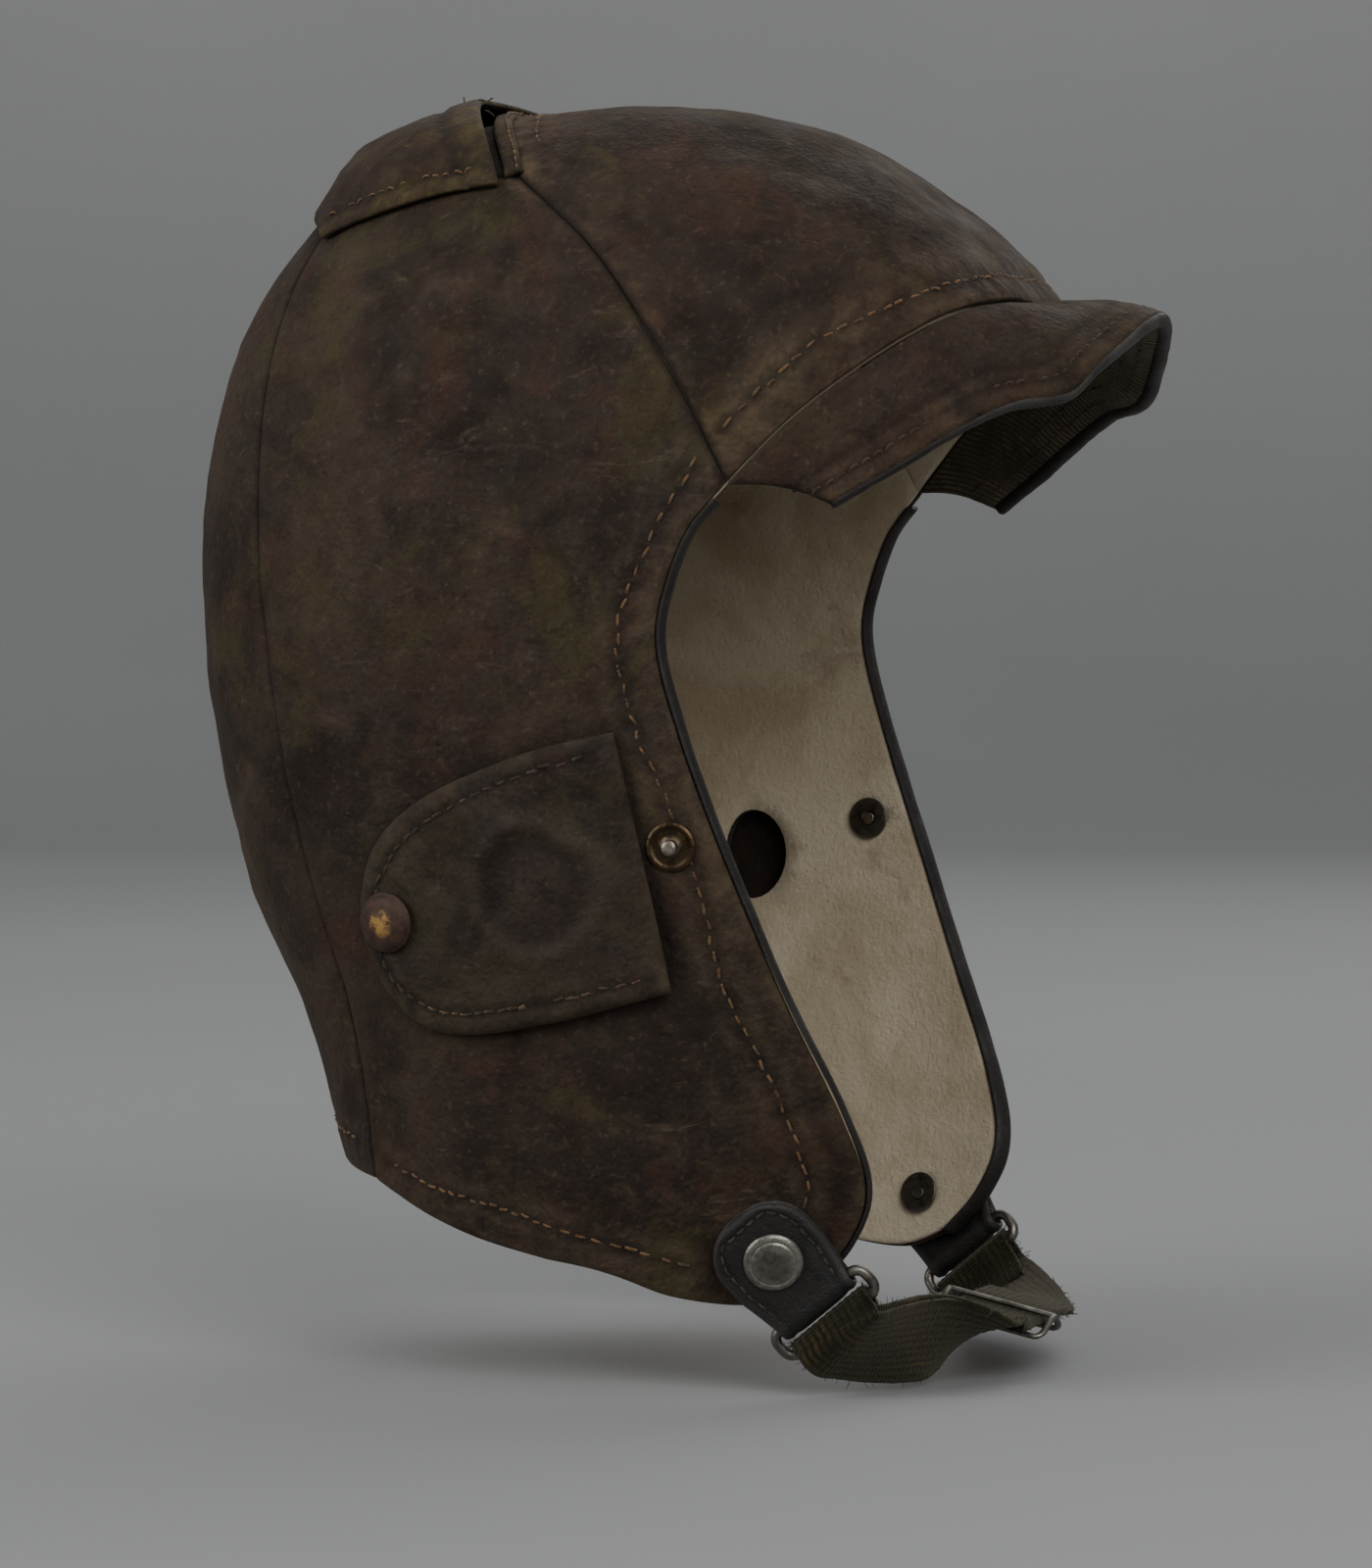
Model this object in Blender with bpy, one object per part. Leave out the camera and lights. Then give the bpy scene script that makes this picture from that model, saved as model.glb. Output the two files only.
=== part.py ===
"""Soft leather flying helmet: panels, lining, peak, ear covers with press studs, strap keeper and chin strap.

Frame: +Z up, the wearer faces -Y, and the wearer's right side is -X. The origin is the centre of the head
form, at the level where the head is widest. Shapes are worked out in millimetres and stored in metres.
"""

import math

import bpy
import numpy as np
from mathutils import Vector
from mathutils.geometry import delaunay_2d_cdt

MM = 0.001

# Head form under the leather's outer face, in millimetres.
HALF_WIDTH = 77.0
HALF_FRONT = 108.0
HALF_BACK = 94.0
CROWN = 101.0
SQUARENESS = 2.35  # exponent of the superellipse sections
UNROLL = 85.0  # radius that turns angles into distances on the flat patterns
# Below the widest level the sections shrink: (depth, half width, front, back).
LOWER_SECTIONS = (
    (0.0, 77.0, 108.0, 94.0),
    (30.0, 76.5, 108.0, 91.0),
    (60.0, 75.0, 106.0, 83.0),
    (90.0, 72.0, 102.0, 70.0),
    (120.0, 67.5, 97.0, 60.5),
    (150.0, 60.0, 88.0, 55.0),
)
# Hollows (negative) and swellings (positive): direction (forward, up), height, spread in radians.
CREASES = (
    ((0.80, 0.60), -7.0, 0.42),
    ((-0.62, 0.78), 2.0, 0.30),
)

# Layers, measured outwards from the leather's outer face.
LEATHER = 1.8
LINING_TOP = -2.4
LINING_BOTTOM = -4.0
BAND_TOP = -5.6
BAND_BOTTOM = -6.9
SEAM_GAP = 0.4
PANEL_GRID = 14.0
LINING_GRID = PANEL_GRID

# Flat pattern of a side panel, in its own unrolled millimetres: (forward, up) from the widest level.
TEMPLE = (32.0, 18.0)
CROWN_CORNER = (-11.5, 78.5)
KEEPER_CORNER = (-59.0, 71.5)
NAPE_CORNER = (-60.0, -122.0)
FACE_EDGE = (
    TEMPLE, (25.0, 8.0), (21.0, -9.0), (24.5, -29.0), (32.0, -54.5), (42.0, -82.0),
    (53.0, -106.0), (58.5, -121.0), (56.5, -132.0), (50.0, -141.0),
)
BOTTOM_EDGE = ((50.0, -141.0), (39.5, -145.0), (24.0, -143.5), (8.0, -138.0), (-25.0, -132.0), NAPE_CORNER)
REAR_SEAM = (NAPE_CORNER, (-53.5, -83.0), (-57.0, -26.5), (-60.5, 15.0), (-62.0, 50.0), KEEPER_CORNER)
KEEPER_SEAM = (KEEPER_CORNER, (-36.0, 77.5), CROWN_CORNER)
FRONT_SEAM = (CROWN_CORNER, (6.0, 61.5), (21.5, 38.0), TEMPLE)
PEAK_SEAM = (TEMPLE, (40.5, 28.0), (49.5, 36.5), (67.5, 51.5), (84.5, 63.0))
NAPE_MIDDLE = -117.0

EAR_HOLE = (1.0, -60.0, 6.5, 10.0)  # centre and half sizes
EAR_RING = (1.0, -60.0, 10.0, 13.5)
REAR_STUD = (-31.0, -67.0)
FRONT_STUD = (23.5, -51.5)
TAB_STUD = (42.5, -134.0)
SHANK_HOLE = 1.9

FLAP_OUTLINE = (
    (14.5, -28.5), (1.0, -32.5), (-20.0, -41.5), (-33.0, -52.0), (-39.0, -66.0), (-38.0, -78.0),
    (-31.0, -87.0), (-19.0, -90.0), (2.5, -87.5), (24.0, -80.5),
)
FLAP_RISE = 2.5
FLAP_EDGE_RISE = 0.8
FLAP_THICKNESS = 1.6
FLAP_HINGE_RISE = 2.0

SNAP_CAP_RADIUS = 6.2
SNAP_CAP_HEIGHT = 2.4
STUD_FLANGE_RADIUS = 5.0
STUD_POST_RADIUS = 1.7
STUD_SHANK_RADIUS = 1.4

# Peak rim on the wearer's right, from the middle to the temple: (x, forward, up).
PEAK_RIM = (
    (0.0, 112.3, 57.0), (-9.0, 111.4, 55.3), (-15.8, 109.5, 52.0), (-27.3, 105.4, 45.5), (-34.0, 101.3, 39.7),
    (-44.0, 92.5, 37.6), (-52.0, 83.5, 32.5), (-60.0, 72.0, 24.5), (-66.5, 61.0, 17.5),
)
PEAK_ROOT_FORWARD = 1.0
PEAK_LEATHER = 1.2
PEAK_BOARD = 0.8
PEAK_CLOTH = 0.8
PEAK_GAP = 0.3

WEBBING_WIDTH = 19.0
WEBBING_THICKNESS = 1.4
WIRE_RADIUS = 1.1
LOOP_LENGTH = 23.5
LOOP_DEPTH = 6.4
TAB_THICKNESS = 1.5
TAB_HALF_WIDTH = 11.0
TAB_END_HALF_WIDTH = 9.3

MATERIALS = {
    "leather": ((0.060, 0.038, 0.026), 0.62, 0.0),
    "leather_dark": ((0.030, 0.024, 0.022), 0.48, 0.0),
    "lining": ((0.48, 0.42, 0.30), 0.92, 0.0),
    "peak_cloth": ((0.085, 0.068, 0.045), 0.95, 0.0),
    "webbing": ((0.036, 0.036, 0.020), 0.95, 0.0),
    "brass": ((0.26, 0.15, 0.065), 0.42, 1.0),
    "steel": ((0.42, 0.41, 0.39), 0.36, 1.0),
    "board": ((0.25, 0.20, 0.14), 0.90, 0.0),
}


def clear_scene():
    for obj in list(bpy.data.objects):
        bpy.data.objects.remove(obj, do_unlink=True)


def make_materials():
    made = {}
    for name, (colour, roughness, metallic) in MATERIALS.items():
        material = bpy.data.materials.new(name)
        material.use_nodes = True
        shader = material.node_tree.nodes["Principled BSDF"]
        shader.inputs["Base Color"].default_value = (*colour, 1.0)
        shader.inputs["Roughness"].default_value = roughness
        shader.inputs["Metallic"].default_value = metallic
        made[name] = material
    return made


def add_object(name, points, faces, slot):
    """A mesh object from points in millimetres."""
    mesh = bpy.data.meshes.new(name)
    mesh.from_pydata([Vector(p) * MM for p in points], [], [tuple(int(i) for i in f) for f in faces])
    mesh.validate()
    mesh.update()
    obj = bpy.data.objects.new(name, mesh)
    bpy.context.scene.collection.objects.link(obj)
    mesh.materials.append(bpy.data.materials[slot])
    return obj


def mirrored(points, faces):
    """The same shape on the wearer's other side."""
    flipped = np.array(points, float) * (-1, 1, 1)
    return flipped, [tuple(reversed(f)) for f in faces]


def unit(v):
    v = np.asarray(v, float)
    return v / np.linalg.norm(v, axis=-1, keepdims=True)


# ---------------------------------------------------------------- head form


def catmull_rom(points, steps):
    """A smooth open curve through the points, with this many steps between neighbours."""
    pts = np.array(points, float)
    pts = np.vstack([2 * pts[0] - pts[1], pts, 2 * pts[-1] - pts[-2]])
    t = np.linspace(0, 1, steps, endpoint=False)[:, None]
    runs = []
    for p0, p1, p2, p3 in zip(pts, pts[1:], pts[2:], pts[3:]):
        runs.append(0.5 * (2 * p1 + (p2 - p0) * t + (2 * p0 - 5 * p1 + 4 * p2 - p3) * t**2
                           + (3 * p1 - p0 - 3 * p2 + p3) * t**3))
    return np.vstack([*runs, pts[-2]])


SECTION_CURVE = catmull_rom(LOWER_SECTIONS, 12)


def section_sizes(depth):
    return [np.interp(depth, SECTION_CURVE[:, 0], SECTION_CURVE[:, k]) for k in (1, 2, 3)]


def super_scale(*parts):
    return sum(np.abs(p) ** SQUARENESS for p in parts) ** (-1 / SQUARENESS)


def crease_height(direction):
    height = 0.0
    for (forward, up), rise, spread in CREASES:
        axis = unit((0.0, forward, up))
        angle = np.arccos(np.clip(direction @ axis, -1, 1))
        height = height + rise * np.exp(-((angle / spread) ** 2))
    return height


def dome_point(direction):
    """Outer face above the widest level. direction is (x, forward, up), and so is the result."""
    d = unit(direction)
    half_length = np.where(d[..., 1] > 0, HALF_FRONT, HALF_BACK)
    k = super_scale(d[..., 0], d[..., 1], d[..., 2])
    point = np.stack([HALF_WIDTH * k * d[..., 0], half_length * k * d[..., 1], CROWN * k * d[..., 2]], -1)
    reach = np.linalg.norm(point, axis=-1)
    return point * (1 + crease_height(d) / reach)[..., None]


def wall_point(sideways, forward, height):
    """Outer face below the widest level, from a direction in the level section."""
    width, front, back = section_sizes(-height)
    k = super_scale(sideways, forward)
    return np.stack([width * k * sideways, np.where(forward > 0, front, back) * k * forward, height], -1)


def to_row(point):
    """(x, forward, up) to the row frame."""
    return np.asarray(point, float) * (1, -1, 1)


def side_direction(p, q):
    reach = np.hypot(p, q) / UNROLL
    turn = np.arctan2(q, p)
    return np.stack([-np.cos(reach), np.sin(reach) * np.cos(turn), np.sin(reach) * np.sin(turn)], -1)


def side_chart(p, q):
    """Right side panel's pattern to the row frame."""
    dome = dome_point(side_direction(p, q))
    wall = wall_point(-np.cos(p / UNROLL), np.sin(p / UNROLL), np.minimum(q, 0.0))
    return to_row(np.where((q >= 0)[..., None], dome, wall))


def back_chart(u, v):
    """Back panel's pattern to the row frame: u up the spine, v to the wearer's left."""
    turn = math.pi - u / UNROLL
    across = v / UNROLL
    direction = np.stack([np.sin(across), np.cos(across) * np.cos(turn), np.cos(across) * np.sin(turn)], -1)
    wall = wall_point(np.sin(across), -np.cos(across), np.minimum(u, 0.0))
    return to_row(np.where((u >= 0)[..., None], dome_point(direction), wall))


def side_to_back(point):
    """A point of the right side's pattern, on the back panel's pattern."""
    p, q = point
    if q < 0:
        return (q, -(math.pi / 2 * UNROLL + p))
    x, forward, up = side_direction(np.float64(p), np.float64(q))
    return (UNROLL * (math.pi - math.atan2(up, forward)), UNROLL * math.asin(x))


FRONT_AXIS = unit((0.0, 0.62, 0.78))
FRONT_UP = unit(np.cross((1.0, 0.0, 0.0), FRONT_AXIS))


def front_chart(s, t):
    """Front panel's pattern to the row frame: s to the wearer's left, t up and back from its middle."""
    reach = np.hypot(s, t) / UNROLL
    turn = np.arctan2(t, s)
    direction = (np.cos(reach)[..., None] * FRONT_AXIS + (np.sin(reach) * np.cos(turn))[..., None]
                 * np.array((1.0, 0.0, 0.0)) + (np.sin(reach) * np.sin(turn))[..., None] * FRONT_UP)
    return to_row(dome_point(direction))


def side_to_front(point):
    direction = side_direction(np.float64(point[0]), np.float64(point[1]))
    reach = math.acos(float(direction @ FRONT_AXIS)) * UNROLL
    turn = math.atan2(float(direction @ FRONT_UP), float(direction[0]))
    return (reach * math.cos(turn), reach * math.sin(turn))


def normals(chart, p, q):
    """Outward unit normals of a pattern's surface."""
    step = 0.4
    along = chart(p + step, q) - chart(p - step, q)
    up = chart(p, q + step) - chart(p, q - step)
    n = unit(np.cross(along, up))
    point = chart(p, q)
    outward = point - np.stack([0 * p, 0 * p, np.minimum(point[..., 2], 0.0)], -1)
    return n * np.sign((n * outward).sum(-1))[..., None]


def on_surface(chart, point, rise):
    """One pattern point lifted off the surface, and the normal there."""
    p, q = np.float64(point[0]), np.float64(point[1])
    n = normals(chart, p, q)
    return chart(p, q) + n * rise, n


# ---------------------------------------------------------------- sheets cut from flat patterns


def closed_curve(*runs, steps=8):
    """Smooth runs joined at their corners into one closed outline."""
    pieces = [catmull_rom(run, steps)[:-1] for run in runs]
    return np.vstack(pieces)


def resample(loop, spacing):
    """Even spacing along each stretch of a closed outline, keeping sharp corners."""
    loop = np.asarray(loop, float)
    before = unit(loop - np.roll(loop, 1, 0))
    after = unit(np.roll(loop, -1, 0) - loop)
    corner = (before * after).sum(-1) < 0.86
    if not corner.any():
        corner[0] = True
    first = int(np.argmax(corner))
    loop, corner = np.roll(loop, -first, 0), np.roll(corner, -first)
    stops = [*np.flatnonzero(corner), len(loop)]
    closed = np.vstack([loop, loop[:1]])
    out = []
    for a, b in zip(stops, stops[1:]):
        run = closed[a:b + 1]
        travelled = np.concatenate([[0], np.cumsum(np.linalg.norm(np.diff(run, axis=0), axis=1))])
        count = max(1, round(travelled[-1] / spacing))
        where = np.linspace(0, travelled[-1], count + 1)[:-1]
        out.append(np.stack([np.interp(where, travelled, run[:, k]) for k in (0, 1)], -1))
    return np.vstack(out)


def distance_to(loop, points):
    """Distance from each point to a closed outline."""
    a, b = loop, np.roll(loop, -1, 0)
    best = np.full(len(points), np.inf)
    for start, end in zip(a, b):
        along = end - start
        t = np.clip(((points - start) @ along) / max(along @ along, 1e-12), 0, 1)
        best = np.minimum(best, np.linalg.norm(points - start - t[:, None] * along, axis=1))
    return best


def inside(loop, points):
    a, b = loop, np.roll(loop, -1, 0)
    crossings = np.zeros(len(points), int)
    for (x0, y0), (x1, y1) in zip(a, b):
        spans = (y0 > points[:, 1]) != (y1 > points[:, 1])
        rise = y1 - y0 if y1 != y0 else 1e-12
        crossings += spans & (points[:, 0] < x0 + (points[:, 1] - y0) * (x1 - x0) / rise)
    return crossings % 2 == 1


def oval(centre_and_half_sizes, count):
    cx, cy, rx, ry = centre_and_half_sizes
    turn = np.linspace(0, 2 * math.pi, count, endpoint=False)
    return np.stack([cx + rx * np.cos(turn), cy + ry * np.sin(turn)], -1)


def round_hole(centre, radius=SHANK_HOLE):
    return oval((*centre, radius, radius), 8)


def triangulate(outline, holes, spacing, rim):
    """Triangles of a flat pattern: (points, faces, distance of each point to the outline)."""
    loops = [outline, *holes]
    low, high = outline.min(0), outline.max(0)
    rows = np.arange(low[1], high[1], spacing * math.sqrt(3) / 2)
    grid = [(x + (spacing / 2) * (k % 2), y) for k, y in enumerate(rows) for x in np.arange(low[0], high[0], spacing)]
    grid = np.array(grid)
    keep = inside(outline, grid) & (distance_to(outline, grid) > rim + 0.55 * spacing)
    for hole in holes:
        keep &= ~inside(hole, grid) & (distance_to(hole, grid) > 0.45 * spacing)
    inner = [grid[keep]]
    if rim:
        for loop in loops[:1]:
            ahead = unit(np.roll(loop, -1, 0) - np.roll(loop, 1, 0))
            shifted = loop + rim * np.stack([-ahead[:, 1], ahead[:, 0]], -1)
            if not inside(outline, shifted).mean() > 0.5:
                shifted = 2 * loop - shifted
            good = inside(outline, shifted) & (distance_to(outline, shifted) > 0.9 * rim)
            inner.append(shifted[good])
    points = np.vstack([*loops, *inner])
    edges, start = [], 0
    for loop in loops:
        edges += [(start + k, start + (k + 1) % len(loop)) for k in range(len(loop))]
        start += len(loop)
    made = delaunay_2d_cdt([Vector(p) for p in points], edges, [], 0, 1e-5)
    flat = np.array([tuple(p) for p in made[0]])
    faces = np.array([f for f in made[2]])
    middle = flat[faces].mean(1)
    keep = inside(outline, middle)
    for hole in holes:
        keep &= ~inside(hole, middle)
    faces = faces[keep]
    used = np.unique(faces)
    renumber = np.full(len(flat), -1)
    renumber[used] = np.arange(len(used))
    flat = flat[used]
    return flat, renumber[faces], distance_to(outline, flat)


def slab(top, bottom, faces):
    """A closed solid between two layers that share their triangles."""
    count = len(top)
    edges = {}
    for a, b, c in faces:
        for pair in ((a, b), (b, c), (c, a)):
            edges[pair] = edges.get(pair, 0) + 1
    walls = [(a, b) for a, b in edges if (b, a) not in edges]
    made = [tuple(f) for f in faces]
    made += [(c + count, b + count, a + count) for a, b, c in faces]
    for a, b in walls:
        made += [(b, a, a + count), (b, a + count, b + count)]
    return np.vstack([top, bottom]), made


def sheet(chart, outline, holes, top_rise, bottom_rise, spacing=PANEL_GRID, rim=0.0):
    """Points and faces of a layer cut from a pattern. The rises are numbers, or functions of (flat, edge)."""
    outline = resample(outline, 0.55 * spacing)
    flat, faces, edge = triangulate(outline, holes, spacing, rim)
    point, n = chart(flat[:, 0], flat[:, 1]), normals(chart, flat[:, 0], flat[:, 1])
    rises = [rise(flat, edge) if callable(rise) else np.full(len(flat), rise) for rise in (top_rise, bottom_rise)]
    top, bottom = (point + n * rise[:, None] for rise in rises)
    a, b, c = (top[faces[:, k]] for k in range(3))
    facing = (np.cross(b - a, c - a) * n[faces[:, 0]]).sum(-1)
    if facing.sum() < 0:
        faces = faces[:, ::-1]
    return slab(top, bottom, faces)


def shrunk(outline, amount):
    """The outline moved inwards, to leave a seam gap."""
    outline = resample(outline, 4.0)
    ahead = unit(np.roll(outline, -1, 0) - np.roll(outline, 1, 0))
    moved = outline + amount * np.stack([-ahead[:, 1], ahead[:, 0]], -1)
    if inside(outline, moved).mean() < 0.5:
        moved = 2 * outline - moved
    return moved


# ---------------------------------------------------------------- turned and swept solids


def frame_from(normal):
    """Two unit vectors square to a normal."""
    normal = unit(normal)
    helper = np.array((0.0, 0.0, 1.0)) if abs(normal[2]) < 0.9 else np.array((1.0, 0.0, 0.0))
    first = unit(np.cross(helper, normal))
    return first, np.cross(normal, first)


def turned(profile, centre, axis, count=16):
    """A solid of revolution. profile is a closed run of (radius, height), anticlockwise seen from its side."""
    first, second = frame_from(axis)
    axis = unit(axis)
    turn = np.linspace(0, 2 * math.pi, count, endpoint=False)
    points, rows = [], []
    for radius, height in profile:
        base = centre + axis * height
        if radius < 1e-6:
            rows.append([len(points)] * count)
            points.append(base)
            continue
        rows.append(list(range(len(points), len(points) + count)))
        points += [base + radius * (math.cos(t) * first + math.sin(t) * second) for t in turn]
    faces = []
    for low, high in zip(rows, [*rows[1:], rows[0]]):
        for k in range(count):
            corners = [low[k], low[(k + 1) % count], high[(k + 1) % count], high[k]]
            distinct = list(dict.fromkeys(corners))
            if len(distinct) > 2:
                faces.append(tuple(distinct))
    return np.array(points), faces


def swept(path, sides, ups, section, closed=False):
    """A section, an anticlockwise run of (side, up), carried along a path."""
    rows, points = [], []
    for centre, side, up in zip(path, sides, ups):
        rows.append(list(range(len(points), len(points) + len(section))))
        points += [centre + a * side + b * up for a, b in section]
    faces, count = [], len(section)
    pairs = list(zip(rows, rows[1:]))
    if closed:
        pairs.append((rows[-1], rows[0]))
    for near, far in pairs:
        faces += [(near[k], near[(k + 1) % count], far[(k + 1) % count], far[k]) for k in range(count)]
    if not closed:
        faces += [tuple(reversed(rows[0])), tuple(rows[-1])]
    points = np.array(points)
    return points, faces if signed_volume(points, faces) > 0 else [tuple(reversed(f)) for f in faces]


def signed_volume(points, faces):
    total = 0.0
    for face in faces:
        for k in range(1, len(face) - 1):
            a, b, c = points[face[0]], points[face[k]], points[face[k + 1]]
            total += np.dot(a, np.cross(b, c))
    return total


def round_section(radius, count=8):
    turn = np.linspace(0, 2 * math.pi, count, endpoint=False)
    return [(radius * math.cos(t), radius * math.sin(t)) for t in turn]


def frames_along(path, up, closed=False):
    """Side and up vectors square to a path, kept close to the given up vectors."""
    path = np.asarray(path, float)
    if closed:
        ahead = unit(np.roll(path, -1, 0) - np.roll(path, 1, 0))
    else:
        ahead = unit(np.gradient(path, axis=0))
    side = unit(np.cross(ahead, up))
    return side, np.cross(side, ahead)


# ---------------------------------------------------------------- the pieces


def in_pair(name, points, faces, slot):
    """The right-hand piece and its mirror image."""
    add_object(name + "_right", points, faces, slot)
    add_object(name + "_left", *mirrored(points, faces), slot)


def side_outline():
    return closed_curve(FACE_EDGE, BOTTOM_EDGE, REAR_SEAM, KEEPER_SEAM, FRONT_SEAM)


def both_sides(run):
    """A right-hand run of (u, v) followed by its mirror image, back to the start."""
    left = [(u, -v) for u, v in reversed(run)]
    return left


def back_runs():
    right = [side_to_back(p) for p in catmull_rom((*REAR_SEAM[:-1], KEEPER_CORNER), 4)]
    shoulder = [side_to_back(p) for p in catmull_rom(KEEPER_SEAM, 4)]
    crown = [shoulder[-1], (114.0, -30.0), (110.0, 0.0), (114.0, 30.0), (shoulder[-1][0], -shoulder[-1][1])]
    nape = [(right[0][0], -right[0][1]), (NAPE_MIDDLE - 2, 30.0), (NAPE_MIDDLE, 0.0),
            (NAPE_MIDDLE - 2, -30.0), right[0]]
    return right, shoulder, crown, nape


def back_outline():
    right, shoulder, crown, nape = back_runs()
    left_shoulder = [(u, -v) for u, v in reversed(shoulder)]
    left = [(u, -v) for u, v in reversed(right)]
    return closed_curve(right, shoulder, crown, left_shoulder, left, nape, steps=3)


def back_to_front(point):
    """A point of the back pattern, on the front pattern."""
    turn, across = math.pi - point[0] / UNROLL, point[1] / UNROLL
    direction = np.array((math.sin(across), math.cos(across) * math.cos(turn), math.cos(across) * math.sin(turn)))
    reach = math.acos(float(direction @ FRONT_AXIS)) * UNROLL
    angle = math.atan2(float(direction @ FRONT_UP), float(direction[0]))
    return (reach * math.cos(angle), reach * math.sin(angle))


def peak_root():
    """The lower edge of the front panel on its pattern, right temple to left temple."""
    right = [side_to_front(p) for p in PEAK_SEAM]
    middle = (0.0, side_to_front(PEAK_SEAM[-1])[1] - 1.0)
    return [*right, middle, *[(-s, t) for s, t in reversed(right)]]


def front_outline():
    seam = [side_to_front(p) for p in catmull_rom(FRONT_SEAM, 4)]
    crown = [back_to_front(p) for p in catmull_rom(back_runs()[2], 4)]
    left = [(-s, t) for s, t in reversed(seam)]
    return closed_curve(seam, peak_root(), left, list(reversed(crown)), steps=3)


def build_panels():
    holes = [oval(EAR_HOLE, 16), round_hole(REAR_STUD), round_hole(FRONT_STUD), round_hole(TAB_STUD)]
    outline = shrunk(side_outline(), SEAM_GAP / 2)
    in_pair("side_panel", *sheet(side_chart, outline, holes, 0.0, -LEATHER), "leather")
    in_pair("side_lining", *sheet(side_chart, outline, holes, LINING_TOP, LINING_BOTTOM, LINING_GRID), "lining")
    back = shrunk(back_outline(), SEAM_GAP / 2)
    add_object("back_panel", *sheet(back_chart, back, [], 0.0, -LEATHER), "leather")
    add_object("back_lining", *sheet(back_chart, back, [], LINING_TOP, LINING_BOTTOM, LINING_GRID), "lining")
    front = shrunk(front_outline(), SEAM_GAP / 2)
    add_object("front_panel", *sheet(front_chart, front, [], 0.0, -LEATHER), "leather")
    add_object("front_lining", *sheet(front_chart, front, [], LINING_TOP, LINING_BOTTOM, LINING_GRID), "lining")


def build_sweatband():
    root = np.array(catmull_rom(peak_root(), 3))
    root = root[3:-3]
    upper = root + (0.0, 26.0)
    band = np.vstack([root + (0.0, 1.5), upper[::-1]])
    add_object("sweatband", *sheet(front_chart, band, [], BAND_TOP, BAND_BOTTOM, 11.0), "leather")


def build_face_bindings():
    run = catmull_rom(FACE_EDGE, 3)[1:]
    p, q = run[:, 0], run[:, 1]
    point, n = side_chart(p, q), normals(side_chart, p, q)
    ahead = unit(np.gradient(point, axis=0))
    outward = unit(np.cross(ahead, n))
    if (outward[:, 1]).sum() > 0:
        outward = -outward
    outer, inner, near, far = 0.5, LINING_BOTTOM - 0.5, 0.5, 2.1
    section = [(near, inner), (far - 0.4, inner), (far, inner + 0.8), (far, outer - 0.8), (far - 0.4, outer),
               (near, outer)]
    in_pair("face_binding", *swept(point, outward, n, section), "leather_dark")


def build_ear_rings():
    hole = oval(EAR_HOLE, 20)
    body = sheet(side_chart, oval(EAR_RING, 20), [hole], 1.3, 0.3, spacing=4.0)
    in_pair("ear_ring", *body, "leather_dark")


def flap_rise(flat, edge):
    return FLAP_EDGE_RISE + (FLAP_RISE - FLAP_EDGE_RISE) * np.clip(edge / 4.5, 0, 1) ** 0.7


def build_ear_flaps():
    hole = round_hole(REAR_STUD)
    outline = closed_curve(FLAP_OUTLINE[:-1] + FLAP_OUTLINE[-1:], (FLAP_OUTLINE[-1], FLAP_OUTLINE[0]), steps=6)
    body = sheet(side_chart, outline, [hole], lambda f, e: flap_rise(f, e) + FLAP_THICKNESS, flap_rise,
                 spacing=7.5, rim=4.5)
    in_pair("ear_flap", *body, "leather")


def build_snaps():
    """Press studs: caps and sockets on what opens, studs on the panel, and washers inside the lining."""
    cap_base = FLAP_RISE + FLAP_THICKNESS + 0.3
    dome = [(0, 0), (SNAP_CAP_RADIUS, 0), (SNAP_CAP_RADIUS, 0.5), (0.8 * SNAP_CAP_RADIUS, 1.5),
            (0.45 * SNAP_CAP_RADIUS, 2.2), (0, SNAP_CAP_HEIGHT)]
    cap_post = [(0, -1.9), (1.2, -1.9), (1.2, 0)]
    centre, n = on_surface(side_chart, REAR_STUD, cap_base)
    in_pair("flap_snap_cap", *turned([*cap_post, *dome[1:]], centre, n), "brass")
    centre, n = on_surface(side_chart, REAR_STUD, 1.1)
    in_pair("flap_snap_socket", *turned([(2.1, 0), (3.7, 0), (3.7, 0.9), (2.1, 0.9)], centre, n), "brass")
    shank_foot = LINING_BOTTOM - 1.5
    flange = [(0, shank_foot), (STUD_SHANK_RADIUS, shank_foot), (STUD_SHANK_RADIUS, 0.3),
              (STUD_FLANGE_RADIUS, 0.3), (STUD_FLANGE_RADIUS, 0.6), (STUD_FLANGE_RADIUS - 0.5, 0.8)]
    low_post = [(1.5, 0.8), (1.5, 1.9), (0, 1.9)]
    centre, n = on_surface(side_chart, REAR_STUD, 0.0)
    in_pair("rear_stud", *turned([*flange, *low_post], centre, n), "steel")
    high_post = [(2.2, 0.9), (STUD_POST_RADIUS - 0.3, 1.6), (STUD_POST_RADIUS, 2.4), (1.4, 3.2), (0, 3.2)]
    centre, n = on_surface(side_chart, FRONT_STUD, 0.0)
    in_pair("front_stud", *turned([*flange, *high_post], centre, n), "brass")
    washer = [(STUD_SHANK_RADIUS + 0.3, 0), (4.5, 0), (4.5, 0.6), (STUD_SHANK_RADIUS + 0.3, 0.6)]
    for name, place in (("rear_stud_washer", REAR_STUD), ("front_stud_washer", FRONT_STUD)):
        centre, n = on_surface(side_chart, place, shank_foot)
        in_pair(name, *turned(washer, centre, n, 12), "steel")


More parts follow.
